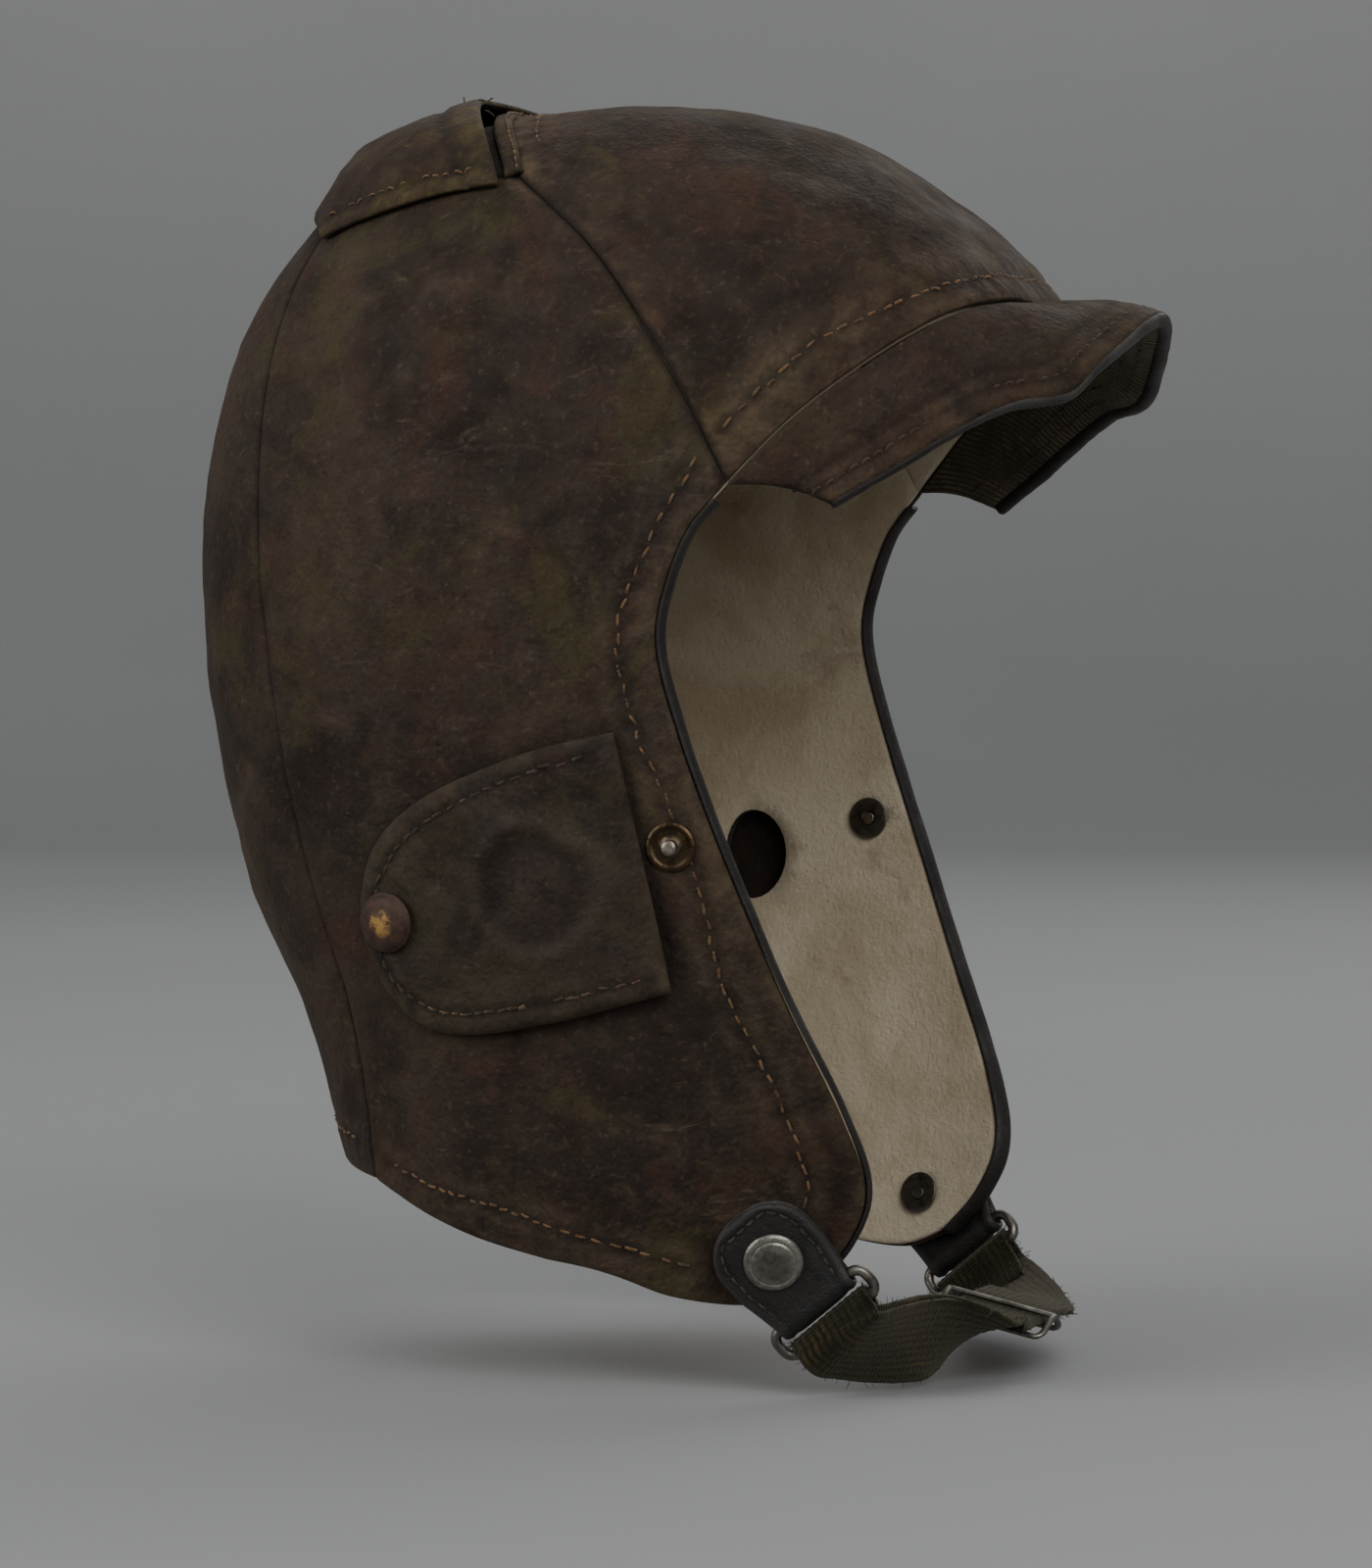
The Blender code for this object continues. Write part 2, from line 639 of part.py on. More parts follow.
def keeper_rise(flat, edge):
    """The keeper puffs up off the crown between its side hems, which stay low."""
    u, v = flat[:, 0], flat[:, 1]
    swell = np.clip((u - 71.0) / 16.0, 0, 1)
    puff = 4.3 * swell * swell * (3 - 2 * swell) - 0.7 * np.clip((u - 96.0) / 12.0, 0, 1)
    hem = np.interp(u, (74.5, 92.0, 117.5), (44.5, 51.5, 55.8))
    across = np.clip((hem - np.abs(v)) / 15.0, 0, 1)
    return 0.7 + puff * across * (2 - across)


def build_keeper():
    rear = [(74.5, 46.5), (71.0, 22.0), (70.0, 0.0), (71.0, -22.0), (74.5, -46.5)]
    right = [(74.5, -46.5), (92.0, -53.5), (117.5, -57.8)]
    front = [(117.5, -57.8), (108.5, -27.0), (104.5, 0.0), (108.5, 27.0), (117.5, 57.8)]
    left = [(u, -v) for u, v in reversed(right)]
    outline = closed_curve(rear, right, front, left)
    body = sheet(back_chart, outline, [], lambda f, e: keeper_rise(f, e) + 1.6, keeper_rise, spacing=7.5)
    add_object("strap_keeper", *body, "leather")


def build_crown_welt():
    """A folded strip that lies along the front panel's rear hem, just ahead of the keeper."""
    centres = [(120.1, -54.5), (111.9, -27.0), (107.9, 0.0), (111.9, 27.0), (120.1, 54.5)]
    flat = catmull_rom(centres, 4)
    point = back_chart(flat[:, 0], flat[:, 1])
    n = normals(back_chart, flat[:, 0], flat[:, 1])
    ahead = unit(np.gradient(point, axis=0))
    side = unit(np.cross(ahead, n))
    section = [(-2.2, 0.4), (2.2, 0.4), (2.2, 1.3), (1.5, 1.9), (-1.5, 1.9), (-2.2, 1.3)]
    add_object("crown_welt", *swept(point, side, n, section), "leather")


def peak_grid(rows):
    """Rows of points from the peak's root to its rim, right temple to left temple."""
    right = list(reversed(PEAK_RIM))
    rim = catmull_rom([*right, *[(-x, f, z) for x, f, z in PEAK_RIM[1:]]], 2)
    root_flat = np.array(catmull_rom(peak_root(), 6))
    travelled = np.concatenate([[0], np.cumsum(np.linalg.norm(np.diff(root_flat, axis=0), axis=1))])
    rim_travelled = np.concatenate([[0], np.cumsum(np.linalg.norm(np.diff(rim, axis=0), axis=1))])
    where = rim_travelled / rim_travelled[-1] * travelled[-1]
    s, t = (np.interp(where, travelled, root_flat[:, k]) for k in (0, 1))
    root = front_chart(s, t)
    ahead = unit(np.cross(normals(front_chart, s, t), unit(np.gradient(root, axis=0))))
    if ahead[:, 1].sum() > 0:
        ahead = -ahead
    root = root + ahead * PEAK_ROOT_FORWARD
    rim = to_row(rim)
    grid = []
    for k in range(rows + 1):
        w = k / rows
        grid.append(root * (1 - w) + rim * w + np.array((0, 0, 1.0)) * 1.5 * math.sin(math.pi * w))
    return np.array(grid)


def grid_normals(grid):
    down = np.gradient(grid, axis=0)
    across = np.gradient(grid, axis=1)
    n = unit(np.cross(across, down))
    return n * np.sign(n[..., 2].sum())


def grid_slab(grid, n, top_rise, bottom_rise):
    rows, columns = grid.shape[:2]
    top = (grid + n * top_rise).reshape(-1, 3)
    bottom = (grid + n * bottom_rise).reshape(-1, 3)
    faces = []
    for i in range(rows - 1):
        for j in range(columns - 1):
            a, b = i * columns + j, i * columns + j + 1
            c, d = b + columns, a + columns
            faces += [(a, b, c), (a, c, d)]
    points, made = slab(top, bottom, faces)
    if signed_volume(points, made) < 0:
        made = [tuple(reversed(f)) for f in made]
    return points, made


def build_peak():
    grid = peak_grid(3)
    n = grid_normals(grid)
    board_top = -PEAK_LEATHER - PEAK_GAP
    board_bottom = board_top - PEAK_BOARD
    cloth_top = board_bottom - PEAK_GAP
    cloth_bottom = cloth_top - PEAK_CLOTH
    add_object("peak_leather", *grid_slab(grid, n, 0.0, -PEAK_LEATHER), "leather")
    add_object("peak_board", *grid_slab(grid[:, 1:-1], n[:, 1:-1], board_top, board_bottom), "board")
    add_object("peak_cloth", *grid_slab(grid, n, cloth_top, cloth_bottom), "peak_cloth")
    rim, up = grid[-1], n[-1]
    ahead = unit(np.gradient(rim, axis=0))
    out = unit(np.cross(ahead, up))
    if out[len(out) // 2][1] > 0:
        out = -out
    section = [(0.35, cloth_bottom - 0.4), (1.2, cloth_bottom), (1.6, -1.6), (1.2, 0.1), (0.35, 0.5)]
    add_object("peak_binding", *swept(rim, out, up, section), "leather_dark")


# ---------------------------------------------------------------- chin strap

TAB_RISE = 2.1
TAB_LOOP = np.array((-55.9, -54.2, -143.5))  # middle of the loop bar inside the right tab's fold


def tab_frame():
    """Stud point, outward normal, direction towards the loop and width direction of the right tab."""
    stud, n = on_surface(side_chart, TAB_STUD, TAB_RISE)
    towards = TAB_LOOP - stud
    run = unit(towards - n * (towards @ n))
    return stud, n, run, np.cross(n, run)


def tab_profile():
    """Middle line of the tab's outer leaf from its round end to the fold, as (along, outwards, turn)."""
    stud, n, run, width = tab_frame()
    target = TAB_LOOP - stud
    reach, drop = target @ run, target @ n
    along = np.linspace(-11.5, reach, 14)
    bend = np.clip(along / reach, 0, 1)
    return along, drop * bend**3.5


def build_tabs():
    stud, n, run, width = tab_frame()
    along, out = tab_profile()
    slope = np.gradient(out, along)
    gap = 0.5 * TAB_THICKNESS + 0.2
    fold = WIRE_RADIUS + 0.35 + 0.5 * TAB_THICKNESS
    spread = gap + (fold - gap) * np.clip(along / along[-1], 0, 1) ** 3
    lean = np.stack([-slope, np.ones_like(slope)], -1) / np.hypot(1, slope)[:, None]
    middle = np.stack([along, out + gap], -1)
    outer = middle + lean * spread[:, None]
    inner = middle - lean * spread[:, None]
    end, tip_lean = middle[-1], lean[-1]
    tip_run = np.array((tip_lean[1], -tip_lean[0]))
    turn = np.linspace(math.pi / 2, -math.pi / 2, 9)[1:-1]
    bow = [end + fold * (math.cos(t) * tip_run + math.sin(t) * tip_lean) for t in turn]
    path = np.vstack([outer, bow, inner[::-1]])
    tangent = unit(np.gradient(path, axis=0))
    offset = np.stack([-tangent[:, 1], tangent[:, 0]], -1) * (0.5 * TAB_THICKNESS)
    ring = np.vstack([path + offset, (path - offset)[::-1]])
    half = np.interp(np.concatenate([along, np.full(len(bow), along[-1]), along[::-1]]),
                     [-11.5, -9.0, -4.0, 3.0, along[-1]],
                     [3.5, 8.2, TAB_HALF_WIDTH, TAB_HALF_WIDTH, TAB_END_HALF_WIDTH])
    half = np.concatenate([half, half[::-1]])
    count = len(ring)
    points = [stud + a * run + b * n + s * h * width for s in (-1, 1) for (a, b), h in zip(ring, half)]
    points = np.array(points)
    faces = [(k, (k + 1) % count, count + (k + 1) % count, count + k) for k in range(count)]
    strips = len(path)
    for k in range(strips - 1):
        quad = (k, k + 1, count - 2 - k, count - 1 - k)
        faces += [tuple(reversed(quad)), tuple(count + i for i in quad)]
    if signed_volume(points, faces) < 0:
        faces = [tuple(reversed(f)) for f in faces]
    in_pair("chin_tab", points, faces, "leather_dark")
    top = stud + n * (2 * gap + 0.5 * TAB_THICKNESS + 0.3)
    dome = [(0, 0), (SNAP_CAP_RADIUS, 0), (SNAP_CAP_RADIUS, 0.4), (0.8 * SNAP_CAP_RADIUS, 1.1), (0, 1.6)]
    in_pair("chin_tab_snap_cap", *turned(dome, top, n), "steel")
    return end[0] * run + end[1] * n + stud, tip_run[0] * run + tip_run[1] * n, width


def build_tab_studs():
    shank_foot = LINING_BOTTOM - 1.5
    stud = [(0, shank_foot), (STUD_SHANK_RADIUS, shank_foot), (STUD_SHANK_RADIUS, 0.2), (4.2, 0.2), (4.2, 0.5),
            (0, 0.5)]
    centre, n = on_surface(side_chart, TAB_STUD, 0.0)
    in_pair("chin_stud", *turned(stud, centre, n), "steel")
    washer = [(STUD_SHANK_RADIUS + 0.3, 0), (4.5, 0), (4.5, 0.6), (STUD_SHANK_RADIUS + 0.3, 0.6)]
    centre, n = on_surface(side_chart, TAB_STUD, shank_foot)
    in_pair("chin_stud_washer", *turned(washer, centre, n, 12), "steel")


def rounded_rectangle(length, depth, radius, per_corner=4):
    """Closed middle line in its own plane: (along the bars, across)."""
    out = []
    for cx, cy, start in ((1, 1, 0.0), (-1, 1, 0.5), (-1, -1, 1.0), (1, -1, 1.5)):
        for k in range(per_corner + 1):
            t = math.pi * (start + 0.5 * k / per_corner)
            out.append((cx * (length / 2 - radius) + radius * math.cos(t),
                        cy * (depth / 2 - radius) + radius * math.sin(t)))
    return np.array(out)


def build_loop(bar, run, width):
    """The wire loops that join the tabs' folds to the webbing. Returns the middle of the right one's far bar."""
    centre = bar + run * LOOP_DEPTH / 2
    flat = rounded_rectangle(LOOP_LENGTH, LOOP_DEPTH, 2.4)
    path = centre + flat[:, :1] * width + flat[:, 1:] * run
    up = np.tile(np.cross(width, run), (len(path), 1))
    side, up = frames_along(path, up, closed=True)
    in_pair("wire_loop", *swept(path, side, up, round_section(WIRE_RADIUS), closed=True), "steel")
    return bar + run * LOOP_DEPTH


SLIDE_CENTRE = np.array((-6.0, -79.5, -150.5))
SLIDE_RUN = unit((1.0, -0.06, 0.03))
SLIDE_WIDTH = unit(np.cross((0.05, 0.22, -1.0), SLIDE_RUN))
MIRROR = np.array((-1.0, 1.0, 1.0))


def build_webbing(bar, run, width):
    """Webbing: tail beside the slide, round the right loop, through the slide, then round the left loop."""
    wrap = WIRE_RADIUS + 0.35 + WEBBING_THICKNESS / 2
    out = unit(np.cross(run, width))
    if out[0] > 0:
        out = -out
    slide_out = unit(np.cross(SLIDE_RUN, SLIDE_WIDTH))
    if slide_out[2] > 0:
        slide_out = -slide_out
    leaf = WEBBING_THICKNESS / 2 + 0.3
    turn = np.linspace(-math.pi / 2, math.pi / 2, 7)
    bow = [bar + wrap * (math.cos(t) * -run + math.sin(t) * out) for t in turn]
    left_bow = [p * MIRROR for p in bow][::-1]
    hang = np.array((-35.5, -71.5, -153.0))
    hang_out = unit((-0.52, -0.78, -0.35))
    hang_width = unit((-0.03, -0.40, 0.90))
    start = SLIDE_CENTRE - SLIDE_RUN * 17 + (0, 0, -1.5)
    start_out = unit((-0.15, -0.42, -0.90))
    inner_leaf = [start - SLIDE_RUN * 2 - start_out * leaf, hang - hang_out * leaf, bar + run * 5 - out * (wrap - 0.2)]
    outer_leaf = [bar + run * 5 + out * (wrap - 0.2), hang + hang_out * leaf, start + start_out * leaf * 0.6]
    through = [SLIDE_CENTRE + SLIDE_RUN * k for k in (-12.5, -8, 8, 12.5)]
    left_hang = np.array((36.5, -71.0, -152.0)) + unit((0.50, -0.40, -0.75)) * 0.6
    left = [np.array((20.0, -79.3, -151.0)), left_hang,
            (bar + run * 5 + out * (wrap - 0.2)) * MIRROR]
    tail = [(bar + run * 5 - out * (wrap - 0.2)) * MIRROR, (bar + run * 10 - out * (wrap + 1.2)) * MIRROR]
    across = SLIDE_WIDTH if SLIDE_WIDTH[1] < 0 else -SLIDE_WIDTH
    at_bar = width if width[1] < 0 else -width
    left_bar = at_bar * MIRROR
    start_width, left_between = unit((0.0, -0.90, 0.42)), unit(across + left_bar)
    widths = ([start_width, hang_width, at_bar] + [at_bar] * len(bow) + [at_bar, hang_width, start_width] + [across] * 4
              + [across, left_between, left_bar] + [left_bar] * len(left_bow) + [left_bar, left_bar])
    path_points = [*inner_leaf, *bow, *outer_leaf, *through, *left, *left_bow, *tail]
    steps = 3
    path = catmull_rom(path_points, steps)
    side = unit(catmull_rom(widths, steps))
    ahead = unit(np.gradient(path, axis=0))
    side = unit(side - ahead * (side * ahead).sum(-1)[:, None])
    up = np.cross(ahead, side)
    w, t = WEBBING_WIDTH / 2, WEBBING_THICKNESS / 2
    add_object("chin_webbing", *swept(path, side, up, [(-w, -t), (w, -t), (w, t), (-w, t)]), "webbing")


def build_slide():
    """Bowed metal slide with two slots: the webbing runs inside its outer bars and outside its middle bar."""
    out = unit(np.cross(SLIDE_RUN, SLIDE_WIDTH))
    if out[2] > 0:
        out = -out

    def chart(a, b):
        bow = 4.2 * (np.abs(b) / 6.5) ** 1.5 - 1.9
        return SLIDE_CENTRE + a[..., None] * SLIDE_WIDTH + b[..., None] * SLIDE_RUN + bow[..., None] * out

    half_long, half_deep, bar = 12.4, 6.9, 1.5
    outline = rounded_rectangle(2 * half_long, 2 * half_deep, 2.0)
    slot_depth = half_deep - 1.5 * bar
    slots = []
    for side in (-1, 1):
        slot = rounded_rectangle(2 * (half_long - bar), slot_depth, 0.8, 2)
        slots.append(slot + (0.0, side * (bar / 2 + slot_depth / 2)))
    loops = [outline, *slots]
    points = np.vstack(loops)
    edges, first = [], 0
    for loop in loops:
        edges += [(first + k, first + (k + 1) % len(loop)) for k in range(len(loop))]
        first += len(loop)
    made = delaunay_2d_cdt([Vector(p) for p in points], edges, [], 0, 1e-5)
    flat = np.array([tuple(p) for p in made[0]])
    faces = np.array(made[2])
    middle = flat[faces].mean(1)
    keep = inside(outline, middle)
    for slot in slots:
        keep &= ~inside(slot, middle)
    faces = faces[keep]
    point = chart(flat[:, 0], flat[:, 1])
    top, bottom = point + out * 0.55, point - out * 0.55
    solid_points, solid_faces = slab(top, bottom, faces)
    if signed_volume(solid_points, solid_faces) < 0:
        solid_faces = [tuple(reversed(f)) for f in solid_faces]
    add_object("strap_slide", solid_points, solid_faces, "steel")


def hinge_line():
    """The straight front edge of the right ear flap: its two ends."""
    return [on_surface(side_chart, place, FLAP_HINGE_RISE)[0] for place in (FLAP_OUTLINE[0], FLAP_OUTLINE[-1])]


def pivot(name, place, children):
    """An empty on a joint's axis, which carries the pieces that move."""
    empty = bpy.data.objects.new(name, None)
    bpy.context.scene.collection.objects.link(empty)
    empty.location = Vector(place) * MM
    bpy.context.view_layer.update()
    for child in children:
        obj = bpy.data.objects[child]
        obj.parent = empty
        obj.matrix_parent_inverse = empty.matrix_world.inverted()
    return empty


def add_pivots(near_bar, far_bar):
    top, bottom = hinge_line()
    middle = (top + bottom) / 2
    for side, place in (("right", middle), ("left", middle * MIRROR)):
        pieces = [f"{name}_{side}" for name in ("ear_flap", "flap_snap_cap", "flap_snap_socket")]
        pivot(f"ear_flap_{side}_pivot", place, pieces)
    pivot("left_loop_pivot", near_bar * MIRROR, ["wire_loop_left"])
    pivot("chin_strap_pivot", far_bar * MIRROR, ["chin_webbing"])
    pivot("right_loop_pivot", far_bar, ["wire_loop_right"])
    pivot("right_tab_pivot", near_bar, ["chin_tab_right", "chin_tab_snap_cap_right"])


def main():
    clear_scene()
    make_materials()
    build_panels()
    build_sweatband()
    build_face_bindings()
    build_ear_rings()
    build_ear_flaps()
    build_snaps()
    build_keeper()
    build_crown_welt()
    build_peak()
    build_tab_studs()
    bar, run, width = build_tabs()
    far_bar = build_loop(bar, run, width)
    build_webbing(far_bar, run, width)
    build_slide()
    add_pivots(bar, far_bar)


main()
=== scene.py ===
"""Looks of the soft leather flying helmet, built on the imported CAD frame."""

import math

import bpy
import numpy as np
from mathutils import Matrix, Vector, noise
from mathutils.geometry import delaunay_2d_cdt


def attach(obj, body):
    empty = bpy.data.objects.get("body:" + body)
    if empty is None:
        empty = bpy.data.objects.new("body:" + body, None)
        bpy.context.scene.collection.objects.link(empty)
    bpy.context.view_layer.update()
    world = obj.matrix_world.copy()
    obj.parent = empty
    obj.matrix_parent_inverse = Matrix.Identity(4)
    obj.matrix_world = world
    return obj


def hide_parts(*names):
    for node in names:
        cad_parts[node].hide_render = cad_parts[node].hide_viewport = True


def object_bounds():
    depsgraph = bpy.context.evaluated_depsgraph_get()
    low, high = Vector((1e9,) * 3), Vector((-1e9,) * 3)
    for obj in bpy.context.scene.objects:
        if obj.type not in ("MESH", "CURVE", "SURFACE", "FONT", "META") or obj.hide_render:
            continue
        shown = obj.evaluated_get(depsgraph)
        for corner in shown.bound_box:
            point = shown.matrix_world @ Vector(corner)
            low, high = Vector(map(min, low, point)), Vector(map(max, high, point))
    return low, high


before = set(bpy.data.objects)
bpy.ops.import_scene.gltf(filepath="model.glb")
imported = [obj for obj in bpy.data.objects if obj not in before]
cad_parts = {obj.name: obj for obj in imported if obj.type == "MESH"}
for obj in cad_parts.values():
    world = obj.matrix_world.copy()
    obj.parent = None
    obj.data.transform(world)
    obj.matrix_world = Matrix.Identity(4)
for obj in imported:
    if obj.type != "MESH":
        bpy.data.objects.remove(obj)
CAD_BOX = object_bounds()
MM = 0.001

# ---------------------------------------------------------------- head form, as in the CAD (millimetres)

HALF_WIDTH, HALF_FRONT, HALF_BACK, CROWN = 77.0, 108.0, 94.0, 101.0
SQUARENESS = 2.35
UNROLL = 85.0
LOWER_SECTIONS = (
    (0.0, 77.0, 108.0, 94.0), (30.0, 76.5, 108.0, 91.0), (60.0, 75.0, 106.0, 83.0),
    (90.0, 72.0, 102.0, 70.0), (120.0, 67.5, 97.0, 60.5), (150.0, 60.0, 88.0, 55.0),
)
CREASES = (((0.80, 0.60), -7.0, 0.42), ((-0.62, 0.78), 2.0, 0.30))
LEATHER = 1.8
LINING_TOP, LINING_BOTTOM = -2.4, -4.0
BAND_TOP, BAND_BOTTOM = -5.2, -6.7
SEAM_GAP = 0.12

TEMPLE = (32.0, 18.0)
CROWN_CORNER = (-11.5, 78.5)
KEEPER_CORNER = (-59.0, 71.5)
NAPE_CORNER = (-60.0, -122.0)
FACE_EDGE = (
    TEMPLE, (25.0, 8.0), (21.0, -9.0), (24.5, -29.0), (32.0, -54.5), (42.0, -82.0),
    (53.0, -106.0), (58.5, -121.0), (56.5, -132.0), (50.0, -141.0),
)
BOTTOM_EDGE = ((50.0, -141.0), (39.5, -145.0), (24.0, -143.5), (8.0, -138.0), (-25.0, -132.0), NAPE_CORNER)
REAR_SEAM = (NAPE_CORNER, (-53.5, -83.0), (-57.0, -26.5), (-60.5, 15.0), (-62.0, 50.0), KEEPER_CORNER)
KEEPER_SEAM = (KEEPER_CORNER, (-36.0, 77.5), CROWN_CORNER)
FRONT_SEAM = (CROWN_CORNER, (6.0, 61.5), (21.5, 38.0), TEMPLE)
PEAK_SEAM = (TEMPLE, (40.5, 28.0), (49.5, 36.5), (67.5, 51.5), (84.5, 63.0))
NAPE_MIDDLE = -117.0
FACE_STITCH = (
    (27.0, 22.0), (20.5, 9.0), (15.0, -8.0), (17.5, -27.0), (23.5, -45.0), (28.0, -60.0), (32.5, -80.0),
    (42.0, -103.0), (47.5, -119.0), (47.0, -128.0),
)
BOTTOM_STITCH = (
    (27.0, -137.0), (17.0, -134.0), (8.0, -131.5), (-11.0, -126.5), (-33.0, -122.5), (-53.0, -117.5),
)
PEAK_STITCH = ((31.0, 27.0), (38.5, 35.5), (46.0, 43.0), (56.0, 50.0), (67.0, 57.5), (80.0, 67.0))

EAR_HOLE = (1.0, -60.0, 6.5, 10.0)
REAR_STUD, FRONT_STUD, TAB_STUD = (-31.0, -67.0), (23.5, -51.5), (42.5, -134.0)
SHANK_HOLE = 1.7
FLAP_OUTLINE = (
    (14.5, -28.5), (1.0, -32.5), (-20.0, -41.5), (-33.0, -52.0), (-39.0, -66.0), (-38.0, -78.0),
    (-31.0, -87.0), (-19.0, -90.0), (2.5, -87.5), (24.0, -80.5),
)
SNAP_CAP_RADIUS = 6.2
STUD_FLANGE_RADIUS = 5.0
STUD_SHANK_RADIUS = 1.4
PEAK_RIM = (
    (0.0, 112.3, 57.0), (-9.0, 111.4, 55.3), (-15.8, 109.5, 52.0), (-27.3, 105.4, 45.5), (-34.0, 101.3, 39.7),
    (-44.0, 92.5, 37.6), (-52.0, 83.5, 32.5), (-60.0, 72.0, 24.5), (-66.5, 61.0, 17.5),
)
WEBBING_WIDTH, WEBBING_THICKNESS, WEBBING_STEPS, WEBBING_HAIRS = 19.0, 1.4, 14, 900
WIRE_RADIUS = 1.1
LOOP_LENGTH, LOOP_DEPTH = 23.5, 6.4
TAB_THICKNESS, TAB_HALF_WIDTH, TAB_END_HALF_WIDTH = 1.5, 11.0, 9.3
TAB_GAP = 0.5 * TAB_THICKNESS + 0.2
TAB_RISE = 2.1
BAR_CLEARANCE = 0.35
TAB_LOOP = np.array((-55.9, -54.2, -143.5))
SLIDE_CENTRE = np.array((-6.0, -79.5, -150.5))
MIRROR = np.array((-1.0, 1.0, 1.0))


def unit(v):
    v = np.asarray(v, float)
    return v / np.linalg.norm(v, axis=-1, keepdims=True)


SLIDE_RUN = unit((1.0, -0.06, 0.03))
SLIDE_WIDTH = unit(np.cross((0.05, 0.22, -1.0), SLIDE_RUN))


def catmull_rom(points, steps):
    pts = np.array(points, float)
    pts = np.vstack([2 * pts[0] - pts[1], pts, 2 * pts[-1] - pts[-2]])
    t = np.linspace(0, 1, steps, endpoint=False)[:, None]
    runs = []
    for p0, p1, p2, p3 in zip(pts, pts[1:], pts[2:], pts[3:]):
        runs.append(0.5 * (2 * p1 + (p2 - p0) * t + (2 * p0 - 5 * p1 + 4 * p2 - p3) * t**2
                           + (3 * p1 - p0 - 3 * p2 + p3) * t**3))
    return np.vstack([*runs, pts[-2]])


SECTION_CURVE = catmull_rom(LOWER_SECTIONS, 12)


def section_sizes(depth):
    return [np.interp(depth, SECTION_CURVE[:, 0], SECTION_CURVE[:, k]) for k in (1, 2, 3)]


def super_scale(*parts):
    return sum(np.abs(p) ** SQUARENESS for p in parts) ** (-1 / SQUARENESS)


def crease_height(direction):
    height = 0.0
    for (forward, up), rise, spread in CREASES:
        angle = np.arccos(np.clip(direction @ unit((0.0, forward, up)), -1, 1))
        height = height + rise * np.exp(-((angle / spread) ** 2))
    return height


def dome_point(direction):
    d = unit(direction)
    half_length = np.where(d[..., 1] > 0, HALF_FRONT, HALF_BACK)
    k = super_scale(d[..., 0], d[..., 1], d[..., 2])
    point = np.stack([HALF_WIDTH * k * d[..., 0], half_length * k * d[..., 1], CROWN * k * d[..., 2]], -1)
    return point * (1 + crease_height(d) / np.linalg.norm(point, axis=-1))[..., None]


def wall_point(sideways, forward, height):
    width, front, back = section_sizes(-height)
    k = super_scale(sideways, forward)
    return np.stack([width * k * sideways, np.where(forward > 0, front, back) * k * forward, height], -1)


def to_row(point):
    return np.asarray(point, float) * (1, -1, 1)


def side_direction(p, q):
    reach = np.hypot(p, q) / UNROLL
    turn = np.arctan2(q, p)
    return np.stack([-np.cos(reach), np.sin(reach) * np.cos(turn), np.sin(reach) * np.sin(turn)], -1)


def side_chart(p, q):
    dome = dome_point(side_direction(p, q))
    wall = wall_point(-np.cos(p / UNROLL), np.sin(p / UNROLL), np.minimum(q, 0.0))
    return to_row(np.where((q >= 0)[..., None], dome, wall))


def left_chart(p, q):
    return side_chart(p, q) * MIRROR


def back_chart(u, v):
    turn = math.pi - u / UNROLL
    across = v / UNROLL
    direction = np.stack([np.sin(across), np.cos(across) * np.cos(turn), np.cos(across) * np.sin(turn)], -1)
    wall = wall_point(np.sin(across), -np.cos(across), np.minimum(u, 0.0))
    return to_row(np.where((u >= 0)[..., None], dome_point(direction), wall))


def side_to_back(point):
    p, q = point
    if q < 0:
        return (q, -(math.pi / 2 * UNROLL + p))
    x, forward, up = side_direction(np.float64(p), np.float64(q))
    return (UNROLL * (math.pi - math.atan2(up, forward)), UNROLL * math.asin(x))


FRONT_AXIS = unit((0.0, 0.62, 0.78))
FRONT_UP = unit(np.cross((1.0, 0.0, 0.0), FRONT_AXIS))


def front_chart(s, t):
    reach = np.hypot(s, t) / UNROLL
    turn = np.arctan2(t, s)
    direction = (np.cos(reach)[..., None] * FRONT_AXIS + (np.sin(reach) * np.cos(turn))[..., None]
                 * np.array((1.0, 0.0, 0.0)) + (np.sin(reach) * np.sin(turn))[..., None] * FRONT_UP)
    return to_row(dome_point(direction))


def direction_to_front(direction):
    reach = math.acos(float(np.clip(direction @ FRONT_AXIS, -1, 1))) * UNROLL
    turn = math.atan2(float(direction @ FRONT_UP), float(direction[0]))
    return (reach * math.cos(turn), reach * math.sin(turn))


def side_to_front(point):
    return direction_to_front(side_direction(np.float64(point[0]), np.float64(point[1])))


def back_to_front(point):
    turn, across = math.pi - point[0] / UNROLL, point[1] / UNROLL
    return direction_to_front(np.array((math.sin(across), math.cos(across) * math.cos(turn),
                                        math.cos(across) * math.sin(turn))))


def normals(chart, p, q):
    step = 0.4
    along = chart(p + step, q) - chart(p - step, q)
    up = chart(p, q + step) - chart(p, q - step)
    n = unit(np.cross(along, up))
    point = chart(p, q)
    outward = point - np.stack([0 * p, 0 * p, np.minimum(point[..., 2], 0.0)], -1)
    return n * np.sign((n * outward).sum(-1))[..., None]


def on_surface(chart, point, rise):
    p, q = np.float64(point[0]), np.float64(point[1])
    n = normals(chart, p, q)
    return chart(p, q) + n * rise, n


# ---------------------------------------------------------------- patterns


def closed_curve(*runs, steps=8):
    return np.vstack([catmull_rom(run, steps)[:-1] for run in runs])


